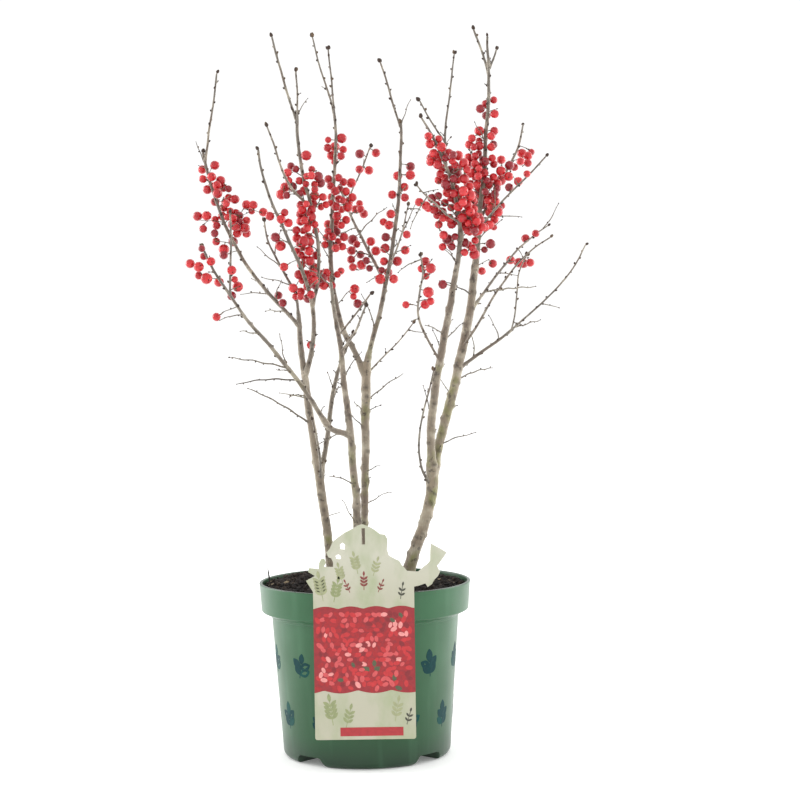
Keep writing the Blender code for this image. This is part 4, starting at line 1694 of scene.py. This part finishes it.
@dataclass
class Compost:
    """The bark compost in the pot: a lumpy mound, with crumbs, chips and a stick on it."""

    rng: random.Random
    radius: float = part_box("soil")[1].x / MM
    top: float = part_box("soil")[1].z / MM
    edge: float = 152.0
    plateau: float = 66.0
    skirt: float = 6.0
    crumbs: int = 1500
    crumb: tuple[float, float, float] = (1.0, 6.5, 1.8)
    chips: float = 0.3

    def height(self, x: float, y: float) -> float:
        """Give the height of the mound at a place."""
        reach = math.hypot(x, y)
        share = min(1.0, max(0.0, (reach - self.plateau) / (self.radius - self.plateau)))
        plain = self.top - (self.top - self.edge) * share
        lumps = noise.multi_fractal(Vector((x / 17.0, y / 17.0, 3.1)), 0.6, 2.1, 4)
        left = 3.4 * math.exp(-(((x + 56.0) / 24.0) ** 2) - ((y - 30.0) / 34.0) ** 2)
        return plain - 1.6 + 1.7 * lumps + left

    def make(self) -> None:
        """Make the mound in place of its CAD node."""
        bottom = self.edge - self.skirt
        outline = [(0.0, bottom), (self.radius, bottom), (self.radius, self.edge)]
        outline += [(self.radius * (1.0 - step / 56.0), self.edge + 1.0) for step in range(57)]
        shape = turned(outline, 112)
        for vert in shape.verts:
            if vert.co.z > self.edge + 0.5:
                reach = math.hypot(vert.co.x, vert.co.y)
                inner = min(1.0, (self.radius - reach) / 2.0)
                vert.co.z = self.edge + (self.height(vert.co.x, vert.co.y) - self.edge) * inner
        show("compost", mesh_of("compost", shape, 70.0), [CompostFinish().make()], ("soil",))

    def crumb_patterns(self) -> list[Pattern]:
        """Make uneven crumbs and flat chips."""
        made = []
        for kind in range(5):
            shape = bmesh.new()
            bmesh.ops.create_icosphere(shape, subdivisions=1, radius=0.5)
            for vert in shape.verts:
                vert.co *= 1.0 + 0.55 * noise.noise(vert.co * 2.0 + Vector((kind * 5.0, 0.0, 0.0)))
            made.append(Pattern(shape, smooth=False))
        return made

    def scatter(self) -> None:
        """Scatter crumbs and bark chips evenly over the mound, smaller near the wall and darker in its front
        half.
        """
        patterns, copies = self.crumb_patterns(), Copies()
        for _ in range(self.crumbs):
            reach = (self.radius - 3.0) * math.sqrt(self.rng.random())
            turn = self.rng.uniform(0.0, FULL_TURN)
            x, y = reach * math.cos(turn), reach * math.sin(turn)
            size = self.rng.triangular(*self.crumb)
            chip = self.rng.random() < self.chips
            flat = self.rng.uniform(0.3, 0.5) if chip else self.rng.uniform(0.6, 1.0)
            long = self.rng.uniform(1.3, 2.4) if chip else self.rng.uniform(0.8, 1.2)
            limit = min(size, 0.5 * (self.radius - reach) + 1.0)
            tilt = Euler([self.rng.uniform(*ends) for ends in ((-0.5, 0.5), (-0.5, 0.5), (0, 6.3))])
            spot = Vector((x, y, self.height(x, y) + 0.22 * limit * flat))
            scale = scaled(limit * long, limit, limit * flat)
            matrix = Matrix.Translation(spot) @ tilt.to_matrix().to_4x4() @ scale
            pattern = self.rng.choice(patterns)
            pale = y > -20.0 and chip and self.rng.random() < 0.2
            # Crumbs in the front half are dealt out darker: painted shade behind the front rim.
            usual = (1, 1, 2, 2, 3) if y > 0.0 else (0, 0, 0, 1, 1, 2, 3)
            copies.add(pattern, pattern.placed(matrix), 4 if pale else self.rng.choice(usual))
        browns = ((22, 18, 16), (36, 29, 25), (62, 52, 44), (46, 39, 33), (142, 128, 104))
        finishes = [
            MatteFinish(f"crumb_{number}", screen(*brown), 0.9, 0.55).make()
            for number, brown in enumerate(browns)
        ]
        show("compost_crumbs", copies.mesh("compost_crumbs"), finishes)

    def stick(self) -> None:
        """Stand a short dark stick in the compost just inside the rim at the left."""
        foot = np.array((-84.0, -14.0, self.edge - 2.0))
        lean = np.array((-0.12, 0.0, 0.0))
        way = np.array([foot + UP * high + lean * high for high in (0.0, 6.0, 13.0, 20.0)])
        copies = Copies()
        TwigPatterns().add(copies, way, np.array((1.0, 0.8, 0.7, 0.5)), 0)
        finish = MatteFinish("old_stick", screen(44, 36, 30)).make()
        show("compost_stick", copies.mesh("compost_stick"), [finish])


@dataclass
class CardLabel:
    """The die-cut card with its print: a red band of leaves, sprigs and a stripe."""

    rng: random.Random
    low: Vector = field(default_factory=lambda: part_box("label_card")[0] / MM)
    high: Vector = field(default_factory=lambda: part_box("label_card")[1] / MM)
    left: float = -42.6
    width: float = 86.4
    panel_foot: float = 74.0
    panel_top: float = 144.0
    pitch: float = 4.6
    leaf: tuple[float, float] = (4.6, 6.6)
    ink: float = 0.05

    @property
    def face(self) -> float:
        """The depth of the card's printed face."""
        return self.low.y

    def dress_card(self) -> None:
        """Give the CAD card and its tongue their printed and plain finishes."""
        card = CardFinish("label_card", printed_from=self.face + 0.4).make()
        plain = CardFinish("label_board").make()
        for name, finish in (("label_card", card), ("label_tongue", plain)):
            for slot in frame["nodes"][name].material_slots:
                slot.link = "OBJECT"
                slot.material = finish

    def wave(self, x: float, top: bool) -> float:
        """Give the height of the panel's scalloped edge at a place across the card."""
        if top:
            return self.panel_top + 2.2 * abs(math.sin(x / self.width * 4.0 * math.pi))
        return self.panel_foot - 2.6 * abs(math.sin(x / self.width * 3.0 * math.pi + 0.6))

    def make_panel(self) -> None:
        """Lay the red panel on the card."""
        shape = bmesh.new()
        bmesh.ops.create_grid(shape, x_segments=48, y_segments=1, size=0.5)
        for vert in shape.verts:
            x = self.left + self.width * (vert.co.x + 0.5)
            vert.co = Vector((x, self.face - 0.01, self.wave(x, vert.co.y > 0.0)))
        thicken(shape, self.ink)
        finish = InkFinish("panel_red", screen(146, 30, 38)).make()
        show("label_panel", mesh_of("label_panel", shape, 30.0), [finish])

    def make_leaves(self) -> None:
        """Scatter leaves of reds, pinks and a few greens over the panel, turned every way."""
        leaf, copies = leaf_pattern(Leaf.BLUNT, 1.0), Copies()
        for row in range(16):
            for column in range(20):
                x = self.left + 3.4 + (column + 0.5 * (row % 2)) * self.pitch + self.rng.uniform(-0.8, 0.8)
                z = self.panel_foot + 1.2 + row * self.pitch * 0.92 + self.rng.uniform(-0.8, 0.8)
                size = self.rng.uniform(*self.leaf)
                inside = self.left + 3.2 < x < self.left + self.width - 3.2
                if not inside or not self.wave(x, False) + 3.0 < z < self.wave(x, True) - 3.4:
                    continue
                turn = Matrix.Rotation(self.rng.uniform(0.0, FULL_TURN), 4, "Y")
                depth = self.face - self.ink - self.rng.uniform(0.01, 0.05)
                half = Matrix.Translation((0.0, 0.0, -0.5))
                scale = scaled(size * 1.5, self.ink, size)
                matrix = Matrix.Translation((x, depth, z)) @ turn @ scale @ half
                paint = self.rng.choice((0, 0, 0, 1, 1, 2, 2, 3, 4)) if self.rng.random() < 0.96 else 5
                copies.add(leaf, leaf.placed(matrix), paint)
        shades = ((188, 40, 44), (160, 26, 32), (202, 78, 80), (226, 144, 140), (128, 24, 32), (78, 84, 58))
        finishes = [InkFinish(f"leaf_{n}", screen(*shade)).make() for n, shade in enumerate(shades)]
        show("label_leaves", copies.mesh("label_leaves"), finishes)

    def make_sprigs(self) -> None:
        """Print pale sprigs on both parts of the card, a few small dark ones, and a stripe at its foot."""
        leaf, rod, copies = leaf_pattern(Leaf.POINTED, 1.0), rod_pattern(), Copies()

        def sprig(x: float, z: float, tall: float, lean: float, paint: int, pairs: int) -> None:
            """Print one sprig.

            Args:
                x: how far right its foot is.
                z: how high its foot is.
                tall: its height.
                lean: its lean to the right, in degrees.
                paint: the number of its ink.
                pairs: the number of its pairs of leaves.
            """
            whole = Matrix.Translation((x, self.face - 0.01, z)) @ leaned(lean)
            size = scaled(tall * 0.36, 2 * self.ink, tall * 0.34)
            copies.add(rod, rod.placed(whole @ scaled(0.6, 2 * self.ink, tall)), paint)
            for pair in range(pairs):
                foot = Matrix.Translation((0.0, -0.01, tall * (0.25 + 0.65 * pair / pairs)))
                for side in (-1.0, 1.0):
                    copies.add(leaf, leaf.placed(whole @ foot @ leaned(side * 48.0) @ size), paint)
            end = Matrix.Translation((0.0, -0.01, tall * 0.92)) @ size
            copies.add(leaf, leaf.placed(whole @ end), paint)

        for row in (
            (-27.0, 44.0, 22.0, -8.0, 1, 4),
            (-16.0, 42.0, 17.0, 14.0, 1, 3),
            (1.0, 160.0, 13.0, 0.0, 0, 3),
            (-11.0, 158.0, 10.0, -24.0, 0, 2),
            (13.0, 158.0, 10.0, 24.0, 0, 2),
            (26.0, 47.0, 18.0, 10.0, 2, 3),
            (36.0, 44.0, 12.0, 16.0, 4, 2),
            (-34.0, 151.0, 21.0, -10.0, 2, 5),
            (-25.0, 150.0, 18.0, 12.0, 1, 4),
            (-17.0, 166.0, 15.0, -14.0, 2, 4),
            (-4.0, 174.0, 16.0, -12.0, 2, 4),
            (9.0, 172.0, 14.0, 16.0, 2, 3),
            (32.0, 152.0, 12.0, 10.0, 4, 2),
        ):
            sprig(*row)
        spot = Matrix.Translation((6.0, self.face - 0.01 - self.ink, 34.5))
        copies.add(rod, rod.placed(spot @ scaled(54.0, 2 * self.ink, 7.5)), 3)
        shades = ((128, 60, 54), (142, 150, 106), (156, 160, 122), (168, 40, 46), (66, 66, 54))
        finishes = [InkFinish(f"sprig_{n}", screen(*shade)).make() for n, shade in enumerate(shades)]
        show("label_sprigs", copies.mesh("label_sprigs"), finishes)


@dataclass
class Studio:
    """The pale floor, the soft light and the camera at the picture's angle."""

    camera: tuple[float, float, float] = (0.034, -1.8, 0.391)
    pitch: float = 2.32
    roll: float = 0.81
    focal: float = 2005.0
    picture: float = 800.0
    sensor: float = 36.0
    floor_radius: float = 40.0
    sky: float = 1.06
    middle: tuple[float, float, float] = (0.03, 0.0, 0.33)

    def make_floor(self) -> None:
        """Lay a wide round floor, which a white sky meets far away."""
        shape = bmesh.new()
        bmesh.ops.create_circle(shape, cap_ends=True, segments=96, radius=self.floor_radius)
        mesh = bpy.data.meshes.new("floor")
        shape.to_mesh(mesh)
        shape.free()
        mesh.materials.append(FloorFinish().make())
        stand("floor", mesh)

    def soft_box(self, name: str, place: tuple, size: float, power: float) -> None:
        """Hang a soft square light that faces the middle of the shrub.

        Args:
            name: the light's name.
            place: where it hangs, in metres.
            size: its side.
            power: its power in watts.
        """
        light = bpy.data.lights.new(name, "AREA")
        light.size, light.energy = size, power
        made = stand(name, light)
        made.location = place
        aim = Vector(self.middle) - Vector(place)
        made.rotation_euler = aim.to_track_quat("-Z", "Y").to_euler()

    def make_light(self) -> None:
        """Light the scene from a white sky and five soft boxes, two of them for pale edges."""
        world = bpy.data.worlds.new("sky")
        world.use_nodes = True
        world.node_tree.nodes["Background"].inputs["Color"].default_value = (1.0, 1.0, 1.0, 1.0)
        world.node_tree.nodes["Background"].inputs["Strength"].default_value = self.sky
        bpy.context.scene.world = world
        self.soft_box("key", (-1.5, -2.2, 2.2), 1.6, 9.0)
        self.soft_box("fill", (2.0, -1.6, 1.2), 1.6, 4.0)
        self.soft_box("back", (0.4, 2.4, 2.0), 1.8, 12.0)
        self.soft_box("left_edge", (-2.2, 0.9, 0.9), 1.4, 36.0)
        self.soft_box("right_edge", (2.3, 0.9, 0.9), 1.4, 32.0)

    def make_camera(self) -> None:
        """Set the camera where the picture was taken from."""
        data = bpy.data.cameras.new("camera")
        data.sensor_width = self.sensor
        data.lens = self.focal / self.picture * self.sensor
        made = stand("camera", data)
        tilt = Matrix.Rotation(math.radians(90.0 - self.pitch), 4, "X")
        made.matrix_world = (
            Matrix.Translation(self.camera) @ tilt @ Matrix.Rotation(math.radians(-self.roll), 4, "Z")
        )
        bpy.context.scene.camera = made
        bpy.context.scene.view_settings.view_transform = "Standard"


def main() -> None:
    """Build the shrub's pieces in order, light them, and write how big the model is."""
    logging.basicConfig(level=logging.INFO, format="%(message)s")
    noise.seed_set(NOISE_SEED)
    limbs = LimbReader().read()
    Bark(random.Random(3)).dress(limbs)
    growth = Twiggery(limbs, random.Random(5))
    growth.grow_seen_twigs()
    growth.grow_sprays()
    growth.grow_fine_twigs()
    growth.bear()
    pieces = TwigPieces(growth, random.Random(7))
    pieces.make_twigs()
    pieces.make_buds()
    pieces.make_berries()
    pot = NurseryPot()
    pot.make()
    pot.make_prints(random.Random(11))
    compost = Compost(random.Random(13))
    compost.make()
    compost.scatter()
    compost.stick()
    label = CardLabel(random.Random(17))
    label.dress_card()
    label.make_panel()
    label.make_leaves()
    label.make_sprigs()
    studio = Studio()
    studio.make_floor()
    studio.make_light()
    studio.make_camera()


if __name__ == "__main__":
    main()
